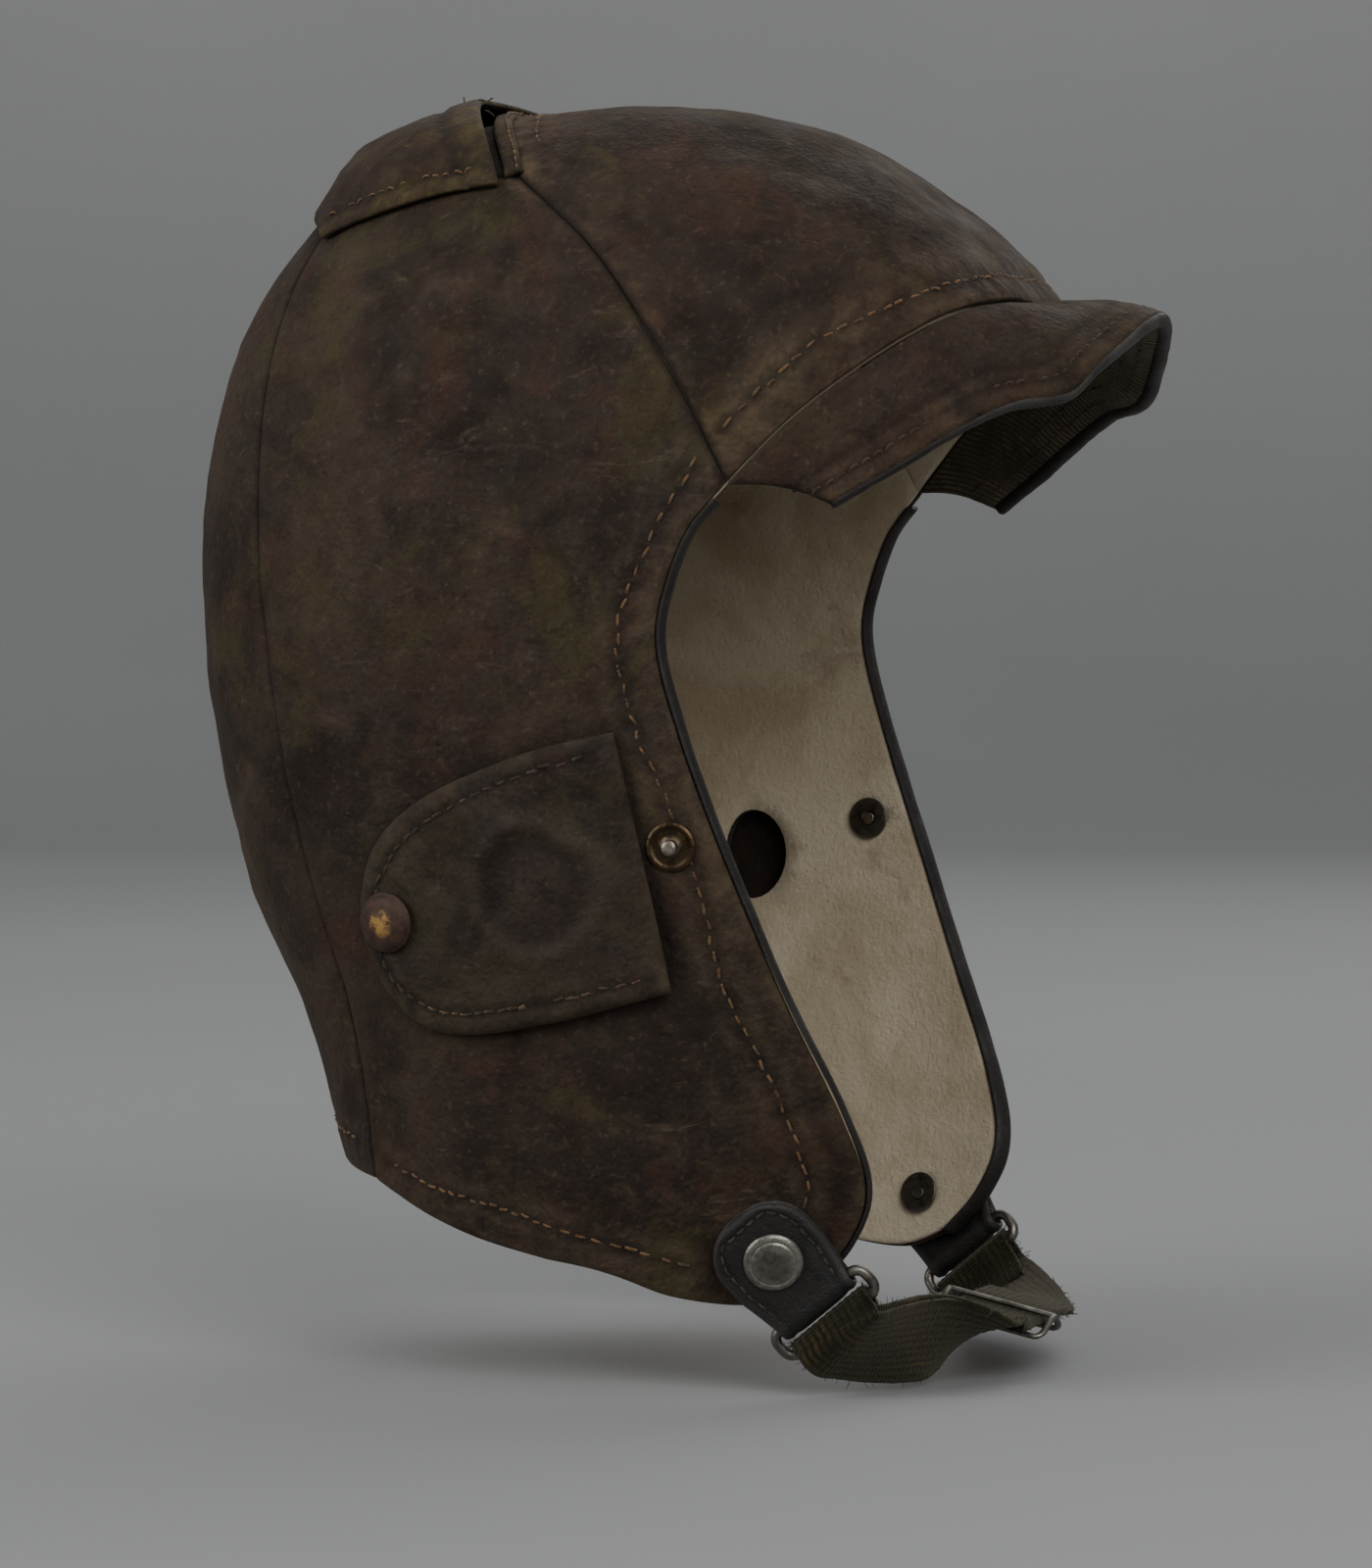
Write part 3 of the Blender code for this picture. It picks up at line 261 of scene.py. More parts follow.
def resample(loop, spacing):
    loop = np.asarray(loop, float)
    before = unit(loop - np.roll(loop, 1, 0))
    after = unit(np.roll(loop, -1, 0) - loop)
    corner = (before * after).sum(-1) < 0.86
    if not corner.any():
        corner[0] = True
    first = int(np.argmax(corner))
    loop, corner = np.roll(loop, -first, 0), np.roll(corner, -first)
    stops = [*np.flatnonzero(corner), len(loop)]
    closed = np.vstack([loop, loop[:1]])
    out = []
    for a, b in zip(stops, stops[1:]):
        out.append(resample_open(closed[a:b + 1], spacing)[:-1])
    return np.vstack(out)


def travel(path):
    """Distance travelled from the start of a path to each of its points."""
    return np.concatenate([[0], np.cumsum(np.linalg.norm(np.diff(path, axis=0), axis=1))])


def points_at(where, travelled, path):
    """The points of a path at these distances along it."""
    return np.stack([np.interp(where, travelled, path[:, k]) for k in range(path.shape[1])], -1)


def resample_open(run, spacing):
    run = np.asarray(run, float)
    travelled = travel(run)
    count = max(1, round(travelled[-1] / spacing))
    return points_at(np.linspace(0, travelled[-1], count + 1), travelled, run)


def to_path(path, points):
    """Distance to an open path and the distance travelled along it."""
    best, along = np.full(len(points), np.inf), np.zeros(len(points))
    done = 0.0
    for start, end in zip(path, path[1:]):
        step = end - start
        size = max(np.linalg.norm(step), 1e-9)
        t = np.clip(((points - start) @ step) / size**2, 0, 1)
        d = np.linalg.norm(points - start - t[:, None] * step, axis=1)
        near = d < best
        best = np.where(near, d, best)
        along = np.where(near, done + t * size, along)
        done += size
    return best, along


def distance_to(loop, points):
    return to_path(np.vstack([loop, loop[:1]]), points)[0]


def inside(loop, points):
    crossings = np.zeros(len(points), int)
    for (x0, y0), (x1, y1) in zip(loop, np.roll(loop, -1, 0)):
        spans = (y0 > points[:, 1]) != (y1 > points[:, 1])
        rise = y1 - y0 if y1 != y0 else 1e-12
        crossings += spans & (points[:, 0] < x0 + (points[:, 1] - y0) * (x1 - x0) / rise)
    return crossings % 2 == 1


def oval(place, count):
    cx, cy, rx, ry = place
    turn = np.linspace(0, 2 * math.pi, count, endpoint=False)
    return np.stack([cx + rx * np.cos(turn), cy + ry * np.sin(turn)], -1)


def mirrored(run, axis):
    """The run in reverse order, with one of its coordinates negated."""
    return [tuple(-x if k == axis else x for k, x in enumerate(p)) for p in reversed(run)]


def moved_in(loop, amount):
    ahead = unit(np.roll(loop, -1, 0) - np.roll(loop, 1, 0))
    moved = loop + amount * np.stack([-ahead[:, 1], ahead[:, 0]], -1)
    return moved if inside(loop, moved).mean() > 0.5 else 2 * loop - moved


RIMS = (0.25, 0.7, 1.4)
LINING_RIMS = (0.5, 1.2)


def triangulate(outline, holes, spacing, rims):
    loops = [outline, *holes]
    low, high = outline.min(0), outline.max(0)
    rows = np.arange(low[1], high[1], spacing * math.sqrt(3) / 2)
    grid = np.array([(x + (spacing / 2) * (k % 2), y) for k, y in enumerate(rows)
                     for x in np.arange(low[0], high[0], spacing)])
    keep = inside(outline, grid)
    grid = grid[keep]
    grid = grid[distance_to(outline, grid) > (rims[-1] if rims else 0) + 0.55 * spacing]
    for hole in holes:
        grid = grid[~inside(hole, grid)]
        grid = grid[distance_to(hole, grid) > 0.6 * spacing]
    inner = [grid]
    for rim in rims:
        shifted = moved_in(outline, rim)
        good = inside(outline, shifted) & (distance_to(outline, shifted) > 0.93 * rim)
        inner.append(shifted[good])
    points = np.vstack([*loops, *inner])
    edges, start = [], 0
    for loop in loops:
        edges += [(start + k, start + (k + 1) % len(loop)) for k in range(len(loop))]
        start += len(loop)
    made = delaunay_2d_cdt([Vector(p) for p in points], edges, [], 0, 1e-5)
    flat = np.array([tuple(p) for p in made[0]])
    faces = np.array(made[2])
    middle = flat[faces].mean(1)
    keep = inside(outline, middle)
    for hole in holes:
        keep &= ~inside(hole, middle)
    faces = faces[keep]
    used = np.unique(faces)
    renumber = np.full(len(flat), -1)
    renumber[used] = np.arange(len(used))
    flat = flat[used]
    return flat, renumber[faces], distance_to(outline, flat)


def slab_faces(faces, count):
    """Faces of a closed slab whose two layers share these triangles."""
    directed = {(int(f[i]), int(f[(i + 1) % len(f)])) for f in faces for i in range(len(f))}
    made = [tuple(int(i) for i in f) for f in faces]
    made += [tuple(int(i) + count for i in reversed(f)) for f in faces]
    made += [(b, a, a + count, b + count) for a, b in directed if (b, a) not in directed]
    return made


def smooth_step(low, high, x):
    t = np.clip((x - low) / (high - low), 0, 1)
    return t * t * (3 - 2 * t)


def lumps(points, size, seed):
    """Smooth noise from -1 to 1 in the row frame, with features of this size in millimetres."""
    shift = Vector((seed, seed * 1.7, -seed))
    return np.array([noise.noise(Vector(p) / size + shift) for p in points])


def creases(points, size, seed):
    """Ridged noise: 1 on thin meandering lines, falling to 0 away from them."""
    return (1 - np.abs(lumps(points, size, seed))) ** 6


# ---------------------------------------------------------------- meshes


def add_mesh(name, points, faces, material, body, replaces=(), slot=None, layers=None, uv=None):
    """A shown piece from points in millimetres, riding on a body."""
    mesh = bpy.data.meshes.new(name)
    corners = [tuple(p) for p in np.asarray(points) * MM]
    mesh.from_pydata(corners, [], [tuple(int(i) for i in f) for f in faces])
    mesh.update()
    mesh.polygons.foreach_set("use_smooth", [True] * len(mesh.polygons))
    for key, values in (layers or {}).items():
        layer = mesh.attributes.new(key, "FLOAT", "POINT")
        layer.data.foreach_set("value", np.asarray(values, np.float32))
    if uv is not None:
        layer = mesh.uv_layers.new(name="UVMap")
        order = np.zeros(len(mesh.loops), np.int32)
        mesh.loops.foreach_get("vertex_index", order)
        layer.data.foreach_set("uv", np.asarray(uv, np.float32)[order].ravel())
    mesh.materials.append(material)
    obj = link(bpy.data.objects.new(name, mesh))
    if replaces:
        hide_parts(*replaces)
    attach(obj, body)
    return obj


# Layers of wear only, with no dirt and no painted shade.
def wear_only(wear):
    return {"wear": wear, "dirt_and_painted_shade": wear * 0}


def signed_volume(points, faces):
    points = np.asarray(points)
    total = 0.0
    for k in range(1, 3):
        chosen = np.array([(f[0], f[k], f[k + 1]) for f in faces if len(f) > k + 1])
        if len(chosen):
            total += (points[chosen[:, 0]] * np.cross(points[chosen[:, 1]], points[chosen[:, 2]])).sum()
    return total


def facing_out(points, faces):
    return faces if signed_volume(points, faces) > 0 else [tuple(reversed(f)) for f in faces]


class Cut:
    """A piece cut from a flat pattern, with a relief of its own."""

    def __init__(self, chart, outline, relief, holes=(), thickness=LEATHER, spacing=2.2, under=None,
                 rims=RIMS):
        self.chart, self.relief, self.thickness, self.under = chart, relief, thickness, under
        self.outline = resample(outline, 0.8 * spacing)
        self.holes, self.spacing, self.rims = list(holes), spacing, rims

    def surface(self, flat):
        return self.chart(flat[:, 0], flat[:, 1]), normals(self.chart, flat[:, 0], flat[:, 1])

    def place(self, flat):
        """Points on the finished upper face, with the directions out of it."""
        flat = np.asarray(flat, float)
        point, n = self.surface(flat)
        rise = self.relief(flat, distance_to(self.outline, flat), point)[0]
        return point + n * rise[:, None], n

    def build(self, name, material, body, replaces, slot):
        flat, faces, edge = triangulate(self.outline, self.holes, self.spacing, self.rims)
        point, n = self.surface(flat)
        rise, wear, dirt_and_painted_shade = self.relief(flat, edge, point)
        top = point + n * rise[:, None]
        low = self.under(flat, edge, point) if self.under else rise - self.thickness
        low = np.minimum(low, rise - 0.25)
        tuck = 1 - smooth_step(0, 0.8, edge)
        bottom = point + n * (low + 0.35 * tuck * (rise - low))[:, None]
        a, b, c = (top[faces[:, k]] for k in range(3))
        if (np.cross(b - a, c - a) * n[faces[:, 0]]).sum() < 0:
            faces = faces[:, ::-1]
        # The upper face keeps the relief's dirt and painted shade; the whole underside is painted darker, as
        # painted shade.
        layers = {"wear": np.tile(wear, 2), "dirt_and_painted_shade": np.concatenate([dirt_and_painted_shade, dirt_and_painted_shade * 0 + 0.3])}
        return add_mesh(name, np.vstack([top, bottom]), slab_faces(faces, len(flat)), material, body,
                        replaces, slot, layers)


def frame_from(normal):
    normal = unit(normal)
    helper = np.array((0.0, 0.0, 1.0)) if abs(normal[2]) < 0.9 else np.array((1.0, 0.0, 0.0))
    first = unit(np.cross(helper, normal))
    return first, np.cross(normal, first)


def turned(profile, centre, axis):
    """A solid of revolution, and each point's radius."""
    first, second = frame_from(axis)
    axis, count = unit(axis), 48
    turn = np.linspace(0, 2 * math.pi, count, endpoint=False)
    points, rows, radii = [], [], []
    for radius, height in profile:
        base = centre + axis * height
        if radius < 1e-6:
            rows.append([len(points)] * count)
            points.append(base)
            radii.append(0.0)
            continue
        rows.append(list(range(len(points), len(points) + count)))
        points += [base + radius * (math.cos(t) * first + math.sin(t) * second) for t in turn]
        radii += [radius] * count
    faces = []
    for low, high in zip(rows, [*rows[1:], rows[0]]):
        for k in range(count):
            distinct = list(dict.fromkeys([low[k], low[(k + 1) % count], high[(k + 1) % count], high[k]]))
            if len(distinct) > 2:
                faces.append(tuple(distinct))
    points = np.array(points)
    return points, facing_out(points, faces), np.array(radii)


def rounded_profile(points):
    """A turned profile with eased bends: the corners are cut back and rounded."""
    pts = [np.array(p, float) for p in points]
    out = [pts[0]]
    for a, b, c in zip(pts, pts[1:], pts[2:]):
        back = min(0.3, 0.45 * np.linalg.norm(a - b), 0.45 * np.linalg.norm(c - b))
        p0, p2 = b + unit(a - b) * back, b + unit(c - b) * back
        out += [(1 - t) ** 2 * p0 + 2 * t * (1 - t) * b + t**2 * p2 for t in (0, 0.25, 0.5, 0.75, 1.0)]
    return [tuple(p) for p in [*out, pts[-1]]]


def swept(path, sides, ups, section, closed=False):
    """Points and faces of a section carried along a path. The section may vary: one per path point."""
    section = np.asarray(section, float)
    if section.ndim == 2:
        section = np.tile(section, (len(path), 1, 1))
    count = section.shape[1]
    points = (np.asarray(path)[:, None] + section[..., :1] * np.asarray(sides)[:, None]
              + section[..., 1:2] * np.asarray(ups)[:, None]).reshape(-1, 3)
    rows = len(path)
    faces = []
    for k in range(rows if closed else rows - 1):
        near, far = k * count, ((k + 1) % rows) * count
        faces += [(near + i, near + (i + 1) % count, far + (i + 1) % count, far + i) for i in range(count)]
    if not closed:
        faces += [tuple(reversed(range(count))), tuple(range((rows - 1) * count, rows * count))]
    return points, facing_out(points, faces)


def round_section(radius, count):
    turn = np.linspace(0, 2 * math.pi, count, endpoint=False)
    return np.stack([radius * np.cos(turn), radius * np.sin(turn)], -1)


def frames_along(path, up, closed=False):
    path = np.asarray(path, float)
    ahead = unit(np.roll(path, -1, 0) - np.roll(path, 1, 0)) if closed else unit(np.gradient(path, axis=0))
    side = unit(np.cross(ahead, up))
    return side, np.cross(side, ahead)


def thread(points, radius, sides=6):
    """A thin tube through the points, tapered at its ends."""
    path = np.asarray(points, float)
    helper = np.tile((0.31, 0.22, 0.92), (len(path), 1))
    side, up = frames_along(path, helper)
    size = np.ones(len(path))
    size[0] = size[-1] = 0.35
    return swept(path, side, up, round_section(radius, sides)[None] * size[:, None, None])


def joined(parts):
    points, faces, start = [], [], 0
    for p, f in parts:
        points.append(p)
        faces += [tuple(i + start for i in face) for face in f]
        start += len(p)
    return np.vstack(points), faces


STITCH_STEPS = 6


def stitch_run(cut, run, pitch=3.3, radius=0.30, seed=0, skip=0.0):
    """Stitches along a run of a cut's pattern: short threads that dip into the leather at their ends."""
    fill, wander, slant = 0.78, 0.18, 0.14
    arch = np.array([-0.45, 0.12, 0.26, 0.26, 0.12, -0.45])
    rng = np.random.default_rng(seed)
    line = resample_open(catmull_rom(run, 10), 0.4)
    travelled = travel(line)
    parts = []
    for k in range(int(travelled[-1] / pitch)):
        if rng.random() < skip:
            continue
        start = k * pitch + rng.normal(0, 0.12)
        flat = points_at(np.linspace(start, start + fill * pitch, STITCH_STEPS), travelled, line)
        flat += rng.normal(0, wander, 2) + np.linspace(-1, 1, STITCH_STEPS)[:, None] * rng.normal(0, slant, 2)
        point, n = cut.place(flat)
        parts.append(thread(point + n * arch[:, None], radius * rng.uniform(0.85, 1.12)))
    return joined(parts)


# ---------------------------------------------------------------- materials


class Shade:
    """A small helper for node materials. Textures read object coordinates, in metres."""

    def __init__(self, name):
        self.material = bpy.data.materials.new(name)
        self.material.use_nodes = True
        self.tree = self.material.node_tree
        self.shader = self.tree.nodes["Principled BSDF"]
        self.coords = self.node("TexCoord", {})["Object"]

    def put(self, value, socket):
        if isinstance(value, (int, float)):
            socket.default_value = value
        elif isinstance(value, tuple):
            socket.default_value = (*value, 1.0) if socket.type == "RGBA" else value
        else:
            self.tree.links.new(value, socket)

    def node(self, kind, inputs, **settings):
        """Adds a node, sets or links its inputs, and returns its outputs."""
        made = self.tree.nodes.new("ShaderNode" + kind)
        for key, value in settings.items():
            setattr(made, key, value)
        for key, value in inputs.items():
            self.put(value, made.inputs[key])
        return made.outputs

    def noise(self, scale, detail=3.0, rough=0.55, distortion=0.0, stretch=(1.0, 1.0, 1.0), shift=0.0):
        place = (shift, shift * 0.7, -shift)
        where = self.node("Mapping", {"Vector": self.coords, "Location": place, "Scale": stretch})["Vector"]
        return self.node("TexNoise", {"Vector": where, "Scale": scale, "Detail": detail, "Roughness": rough,
                                      "Distortion": distortion})["Fac"]

    def cells(self, scale):
        return self.node("TexVoronoi", {"Vector": self.coords, "Scale": scale})["Distance"]

    def window(self, value, low, high, out_low=0.0, out_high=1.0):
        return self.node("MapRange", {"Value": value, "From Min": low, "From Max": high, "To Min": out_low,
                                      "To Max": out_high}, interpolation_type="SMOOTHSTEP")["Result"]

    def math(self, operation, a, b):
        return self.node("Math", {0: a, 1: b}, operation=operation, use_clamp=operation != "SUBTRACT")[0]

    def times(self, a, b):
        return self.math("MULTIPLY", a, b)

    def mix(self, amount, a, b):
        return self.node("Mix", {0: amount, 6: a, 7: b}, data_type="RGBA")[2]

    def laid(self, colour, tint, share, low, high, *noise, **more):
        """The colour with a tint laid over it where a noise is strong, up to this share."""
        amount = self.window(self.noise(*noise, **more), low, high)
        return self.mix(self.times(amount, share) if share < 1 else amount, colour, tint)

    def layer(self, name):
        return self.node("Attribute", {}, attribute_name=name)["Fac"]

    def bump(self, height, distance, below=None, strength=1.0):
        inputs = {"Height": height, "Distance": distance, "Strength": strength}
        return self.node("Bump", inputs if below is None else {**inputs, "Normal": below})["Normal"]

    def done(self, colour, roughness, normal, metallic=0.0, sheen=0.0, sheen_tint=(1.0, 1.0, 1.0),
             specular=0.5):
        for key, value in (("Base Color", colour), ("Roughness", roughness), ("Metallic", metallic),
                           ("Normal", normal)):
            self.put(value, self.shader.inputs[key])
        self.shader.inputs["Specular IOR Level"].default_value = specular
        if sheen:
            self.shader.inputs["Sheen Weight"].default_value = sheen
            self.shader.inputs["Sheen Roughness"].default_value = 0.5
            self.shader.inputs["Sheen Tint"].default_value = (*sheen_tint, 1.0)
        return self.material


def toned(colour, share):
    return tuple(share * c for c in colour)


def suede_leather(name, dark, mid, warm, olive, worn, shift=0.0):
    """Old brown leather whose surface has scuffed to a nap: clouds of colour, rubbed edges, dark soiling, and
    painted shade in grooves and under overlapping parts.
    """
    s = Shade(name)
    colour = s.laid(dark, mid, 1, 0.40, 0.61, 19, 5, 0.66, 0.6, shift=shift)
    colour = s.laid(colour, warm, 0.68, 0.48, 0.68, 47, 5, 0.68, 0.8, shift=shift + 3)
    colour = s.laid(colour, olive, 0.8, 0.50, 0.66, 30, 6, 0.70, 1.0, shift=shift + 7)
    blotch = s.noise(120, 6, 0.72, 0.9, (1.0, 0.8, 1.3), shift + 15)
    colour = s.mix(s.times(s.window(blotch, 0.53, 0.66), 0.5), colour, toned(mid, 1.55))
    colour = s.mix(s.times(s.window(blotch, 0.47, 0.36), 0.5), colour, toned(dark, 0.6))
    colour = s.laid(colour, toned(dark, 0.42), 0.70, 0.54, 0.68, 26, 4, 0.6, 0.5, shift=shift + 11)
    colour = s.laid(colour, worn, 0.38, 0.55, 0.78, 620, 3, 0.6, shift=shift)
    colour = s.laid(colour, toned(dark, 0.5), 0.4, 0.55, 0.7, 880, 2, 0.6, shift=shift + 2)
    colour = s.laid(colour, worn, 0.42, 0.60, 0.71, 85, 6, 0.75, 1.6, (1.0, 0.55, 2.2), shift + 5)
    patchy = s.window(s.noise(170, 5, 0.7, shift=shift + 9), 0.34, 0.66, 0.15, 1.0)
    colour = s.mix(s.times(s.layer("wear"), patchy), colour, worn)
    # Dark where the mesh layer read here is high: mostly painted shade in grooves, seams and under
    # overlapping parts, with some real soiling.
    colour = s.mix(s.times(s.layer("dirt_and_painted_shade"), 0.85), colour, toned(dark, 0.28))
    grain = s.math("ADD", s.times(s.noise(1150, 3, 0.62), 0.6), s.times(s.cells(760), 0.5))
    normal = s.bump(grain, 0.00033, s.bump(s.noise(150, 5, 0.6, 0.7, shift=shift), 0.0009, strength=0.8))
    roughness = s.window(s.noise(90, 4, 0.6, shift=shift + 4), 0.3, 0.7, 0.68, 0.88)
    return s.done(colour, roughness, normal, sheen=0.05, sheen_tint=(0.75, 0.62, 0.48), specular=0.22)


def smooth_leather(name, dark, mid, worn, rough=(0.38, 0.62), specular=0.5):
    """Finished leather: tight grain, a dull gloss and pale rubbed places."""
    s = Shade(name)
    colour = s.laid(dark, mid, 1, 0.35, 0.65, 60, 5, 0.6, 0.3)
    rubbed = s.window(s.noise(240, 6, 0.72, 0.6), 0.56, 0.74)
    colour = s.mix(s.math("ADD", s.times(s.layer("wear"), 0.75), s.times(rubbed, 0.28)), colour, worn)
    # Dark where the mesh layer read here is high: mostly painted shade in grooves and on undersides, with
    # some real soiling.
    colour = s.mix(s.times(s.layer("dirt_and_painted_shade"), 0.8), colour, toned(dark, 0.3))
    normal = s.bump(s.noise(260, 5, 0.65, 0.5), 0.0004, strength=0.7)
    normal = s.bump(s.math("ADD", s.cells(1300), s.noise(1700, 2, 0.5)), 0.00016, normal)
    return s.done(colour, s.window(s.noise(180, 4, 0.6), 0.3, 0.7, *rough), normal, specular=specular)


def chamois(name, pale, tan, stain):
    """Thin cream lining with a short nap, soiled where the head has touched it."""
    s = Shade(name)
    colour = s.laid(pale, tan, 1, 0.38, 0.66, 28, 5, 0.65, 0.5)
    colour = s.laid(colour, stain, 0.5, 0.55, 0.75, 60, 5, 0.7, 0.8)
    colour = s.mix(s.times(s.layer("wear"), 0.5), colour, stain)
    colour = s.laid(colour, tan, 0.35, 0.45, 0.8, 700, 3, 0.7)
    nap = s.math("ADD", s.noise(900, 4, 0.7), s.times(s.noise(300, 3, 0.6), 0.6))
    return s.done(colour, 0.94, s.bump(nap, 0.0006), sheen=0.35, sheen_tint=(1.0, 0.95, 0.85), specular=0.15)


def woven(name, dark, mid, rib, ribs_per_metre, along, worn_from):
    """Ribbed cloth, whose ribs follow its own UV map in metres."""
    s = Shade(name)
    where = s.node("SeparateXYZ", {0: s.node("UVMap", {})["UV"]})
    run, cross = (where["X"], where["Y"]) if along else (where["Y"], where["X"])

    def wave(value, per_metre, wobble):
        shifted = s.node("Math", {0: s.noise(260, 3, 0.6), 1: wobble, 2: value}, operation="MULTIPLY_ADD")[0]
        turns = s.node("Math", {0: shifted, 1: 2 * math.pi * per_metre}, operation="MULTIPLY")[0]
        return s.window(s.node("Math", {0: turns}, operation="SINE")[0], -1.0, 1.0)

    ribs = wave(run, ribs_per_metre, 0.0011)
    threads = wave(cross, 1250, 0.0006)
    colour = s.laid(dark, mid, 1, 0.38, 0.64, 70, 5, 0.65, 0.4)
    show = s.times(s.window(ribs, 0.25, 1.0), s.window(s.noise(75, 5, 0.7, 0.8, shift=4), 0.42, worn_from))
    colour = s.mix(show, colour, rib)
    # Painted shade: the valleys between the ribs are darkened.
    colour = s.mix(s.times(s.window(ribs, 0.0, 0.4, 1.0, 0.0), 0.45), colour, toned(dark, 0.35))
    colour = s.laid(colour, rib, 0.4, 0.5, 0.8, 1500, 3, 0.7)
    height = s.math("ADD", s.times(ribs, 0.7), s.times(threads, 0.25))
    normal = s.bump(s.noise(1300, 4, 0.7), 0.0004, s.bump(height, 0.00022))
    return s.done(colour, 0.95, normal, sheen=0.3, sheen_tint=(0.7, 0.65, 0.5), specular=0.12)


def metal(name, base, tarnish, bright, rough=(0.28, 0.6), paint=None):
    """Worn plated metal: bright where it is rubbed, dull and spotted elsewhere, and painted over if asked."""
    s = Shade(name)
    colour = s.laid(base, tarnish, 1, 0.38, 0.66, 340, 5, 0.7, 0.4)
    colour = s.laid(colour, toned(tarnish, 0.3), 0.6, 0.56, 0.72, 900, 4, 0.7)
    rub = s.times(s.layer("wear"), s.window(s.noise(520, 5, 0.7, 0.5), 0.3, 0.6, 0.35, 1.0))
    colour = s.mix(rub, colour, bright)
    scratches = s.noise(1500, 3, 0.6, stretch=(0.15, 1.0, 1.0))
    normal = s.bump(scratches, 0.00004, s.bump(s.noise(700, 4, 0.6), 0.00012))
    if paint:
        coat = s.math("SUBTRACT", 1.0, s.window(rub, 0.25, 0.6))
        colour = s.mix(coat, colour, s.laid(paint, toned(paint, 0.5), 1, 0.4, 0.65, 500, 5, 0.7))
        metallic = s.window(coat, 0.0, 1.0, 1.0, 0.35)
        return s.done(colour, s.window(coat, 0.0, 1.0, rough[0], 0.62), normal, metallic=metallic)
    roughness = s.mix(rub, s.window(s.noise(600, 4, 0.6), 0.3, 0.7, *rough), (rough[0],) * 3)
    return s.done(colour, roughness, normal, metallic=1.0)


def cotton(name, dark, mid):
    s = Shade(name)
    colour = s.laid(dark, mid, 1, 0.35, 0.65, 420, 4, 0.7)
    return s.done(colour, 0.85, s.bump(s.noise(2600, 2, 0.6), 0.0002), sheen=0.2, specular=0.2)


HIDE = suede_leather(
    "hide", (0.0155, 0.0092, 0.0066), (0.0340, 0.0212, 0.0136), (0.0470, 0.0205, 0.0115),
    (0.0400, 0.0315, 0.0105), (0.108, 0.078, 0.046))
HIDE_FRONT = suede_leather(
    "hide_front", (0.0165, 0.0095, 0.0064), (0.0370, 0.0225, 0.0142), (0.0480, 0.0215, 0.0118),
    (0.0440, 0.0335, 0.0120), (0.118, 0.082, 0.046), shift=21)
HIDE_WORN = suede_leather(
    "hide_worn", (0.0140, 0.0090, 0.0068), (0.0300, 0.0200, 0.0146), (0.0410, 0.0200, 0.0128),
    (0.0340, 0.0270, 0.0125), (0.092, 0.066, 0.042), shift=37)
HIDE_KEEPER = suede_leather(
    "hide_keeper", (0.0150, 0.0088, 0.0066), (0.0320, 0.0182, 0.0134), (0.0420, 0.0208, 0.0126),
    (0.0460, 0.0340, 0.0115), (0.115, 0.085, 0.026), shift=53)
BAND_HIDE = smooth_leather("band_hide", (0.055, 0.033, 0.020), (0.100, 0.065, 0.042), (0.20, 0.145, 0.10))
EDGE_HIDE = smooth_leather(
    "edge_hide", (0.0085, 0.0072, 0.0062), (0.0170, 0.0140, 0.0122), (0.080, 0.074, 0.066),
    rough=(0.50, 0.72), specular=0.32)
TAB_HIDE = smooth_leather(
    "tab_hide", (0.0085, 0.0074, 0.0066), (0.0165, 0.0144, 0.0128), (0.055, 0.049, 0.043),
    rough=(0.46, 0.66), specular=0.36)
NAP = chamois("nap", (0.56, 0.48, 0.35), (0.40, 0.32, 0.21), (0.20, 0.14, 0.085))
PEAK_WEAVE = woven(
    "peak_cloth_weave", (0.040, 0.033, 0.024), (0.075, 0.062, 0.044), (0.120, 0.100, 0.072),
    ribs_per_metre=760, along=True, worn_from=0.56)
WEB = woven(
    "web_weave", (0.0062, 0.0066, 0.0036), (0.0135, 0.0135, 0.0062), (0.066, 0.042, 0.012),
    ribs_per_metre=620, along=False, worn_from=0.78)
BOARD = cotton("board_cloth", (0.16, 0.12, 0.08), (0.24, 0.19, 0.13))
THREAD = cotton("thread_tan", (0.070, 0.036, 0.016), (0.185, 0.100, 0.042))
THREAD_DARK = cotton("thread_dark", (0.030, 0.018, 0.011), (0.065, 0.041, 0.024))
FUZZ = cotton("web_fuzz", (0.010, 0.0105, 0.0055), (0.034, 0.031, 0.014))
BRASS = metal(
    "cap_brass", (0.30, 0.17, 0.07), (0.17, 0.09, 0.04), (0.80, 0.48, 0.16), paint=(0.060, 0.030, 0.018))
STUD_BRASS = metal(
    "stud_brass", (0.090, 0.062, 0.034), (0.045, 0.030, 0.018), (0.58, 0.52, 0.44), rough=(0.26, 0.5))
STEEL = metal(
    "old_steel", (0.085, 0.076, 0.061), (0.038, 0.033, 0.026), (0.34, 0.32, 0.28), rough=(0.34, 0.60))

# ---------------------------------------------------------------- panels

FACE = catmull_rom(FACE_EDGE, 6)
BOTTOM = catmull_rom(BOTTOM_EDGE, 6)
REAR = catmull_rom(REAR_SEAM, 6)
KEEP = catmull_rom(KEEPER_SEAM, 6)
FRONT = catmull_rom(FRONT_SEAM, 6)
FACE_LINE = catmull_rom(FACE_STITCH, 6)
BOTTOM_LINE = catmull_rom(BOTTOM_STITCH, 6)


def bell(distance, width, centre=0.0):
    return np.exp(-(((distance - centre) / width) ** 2))


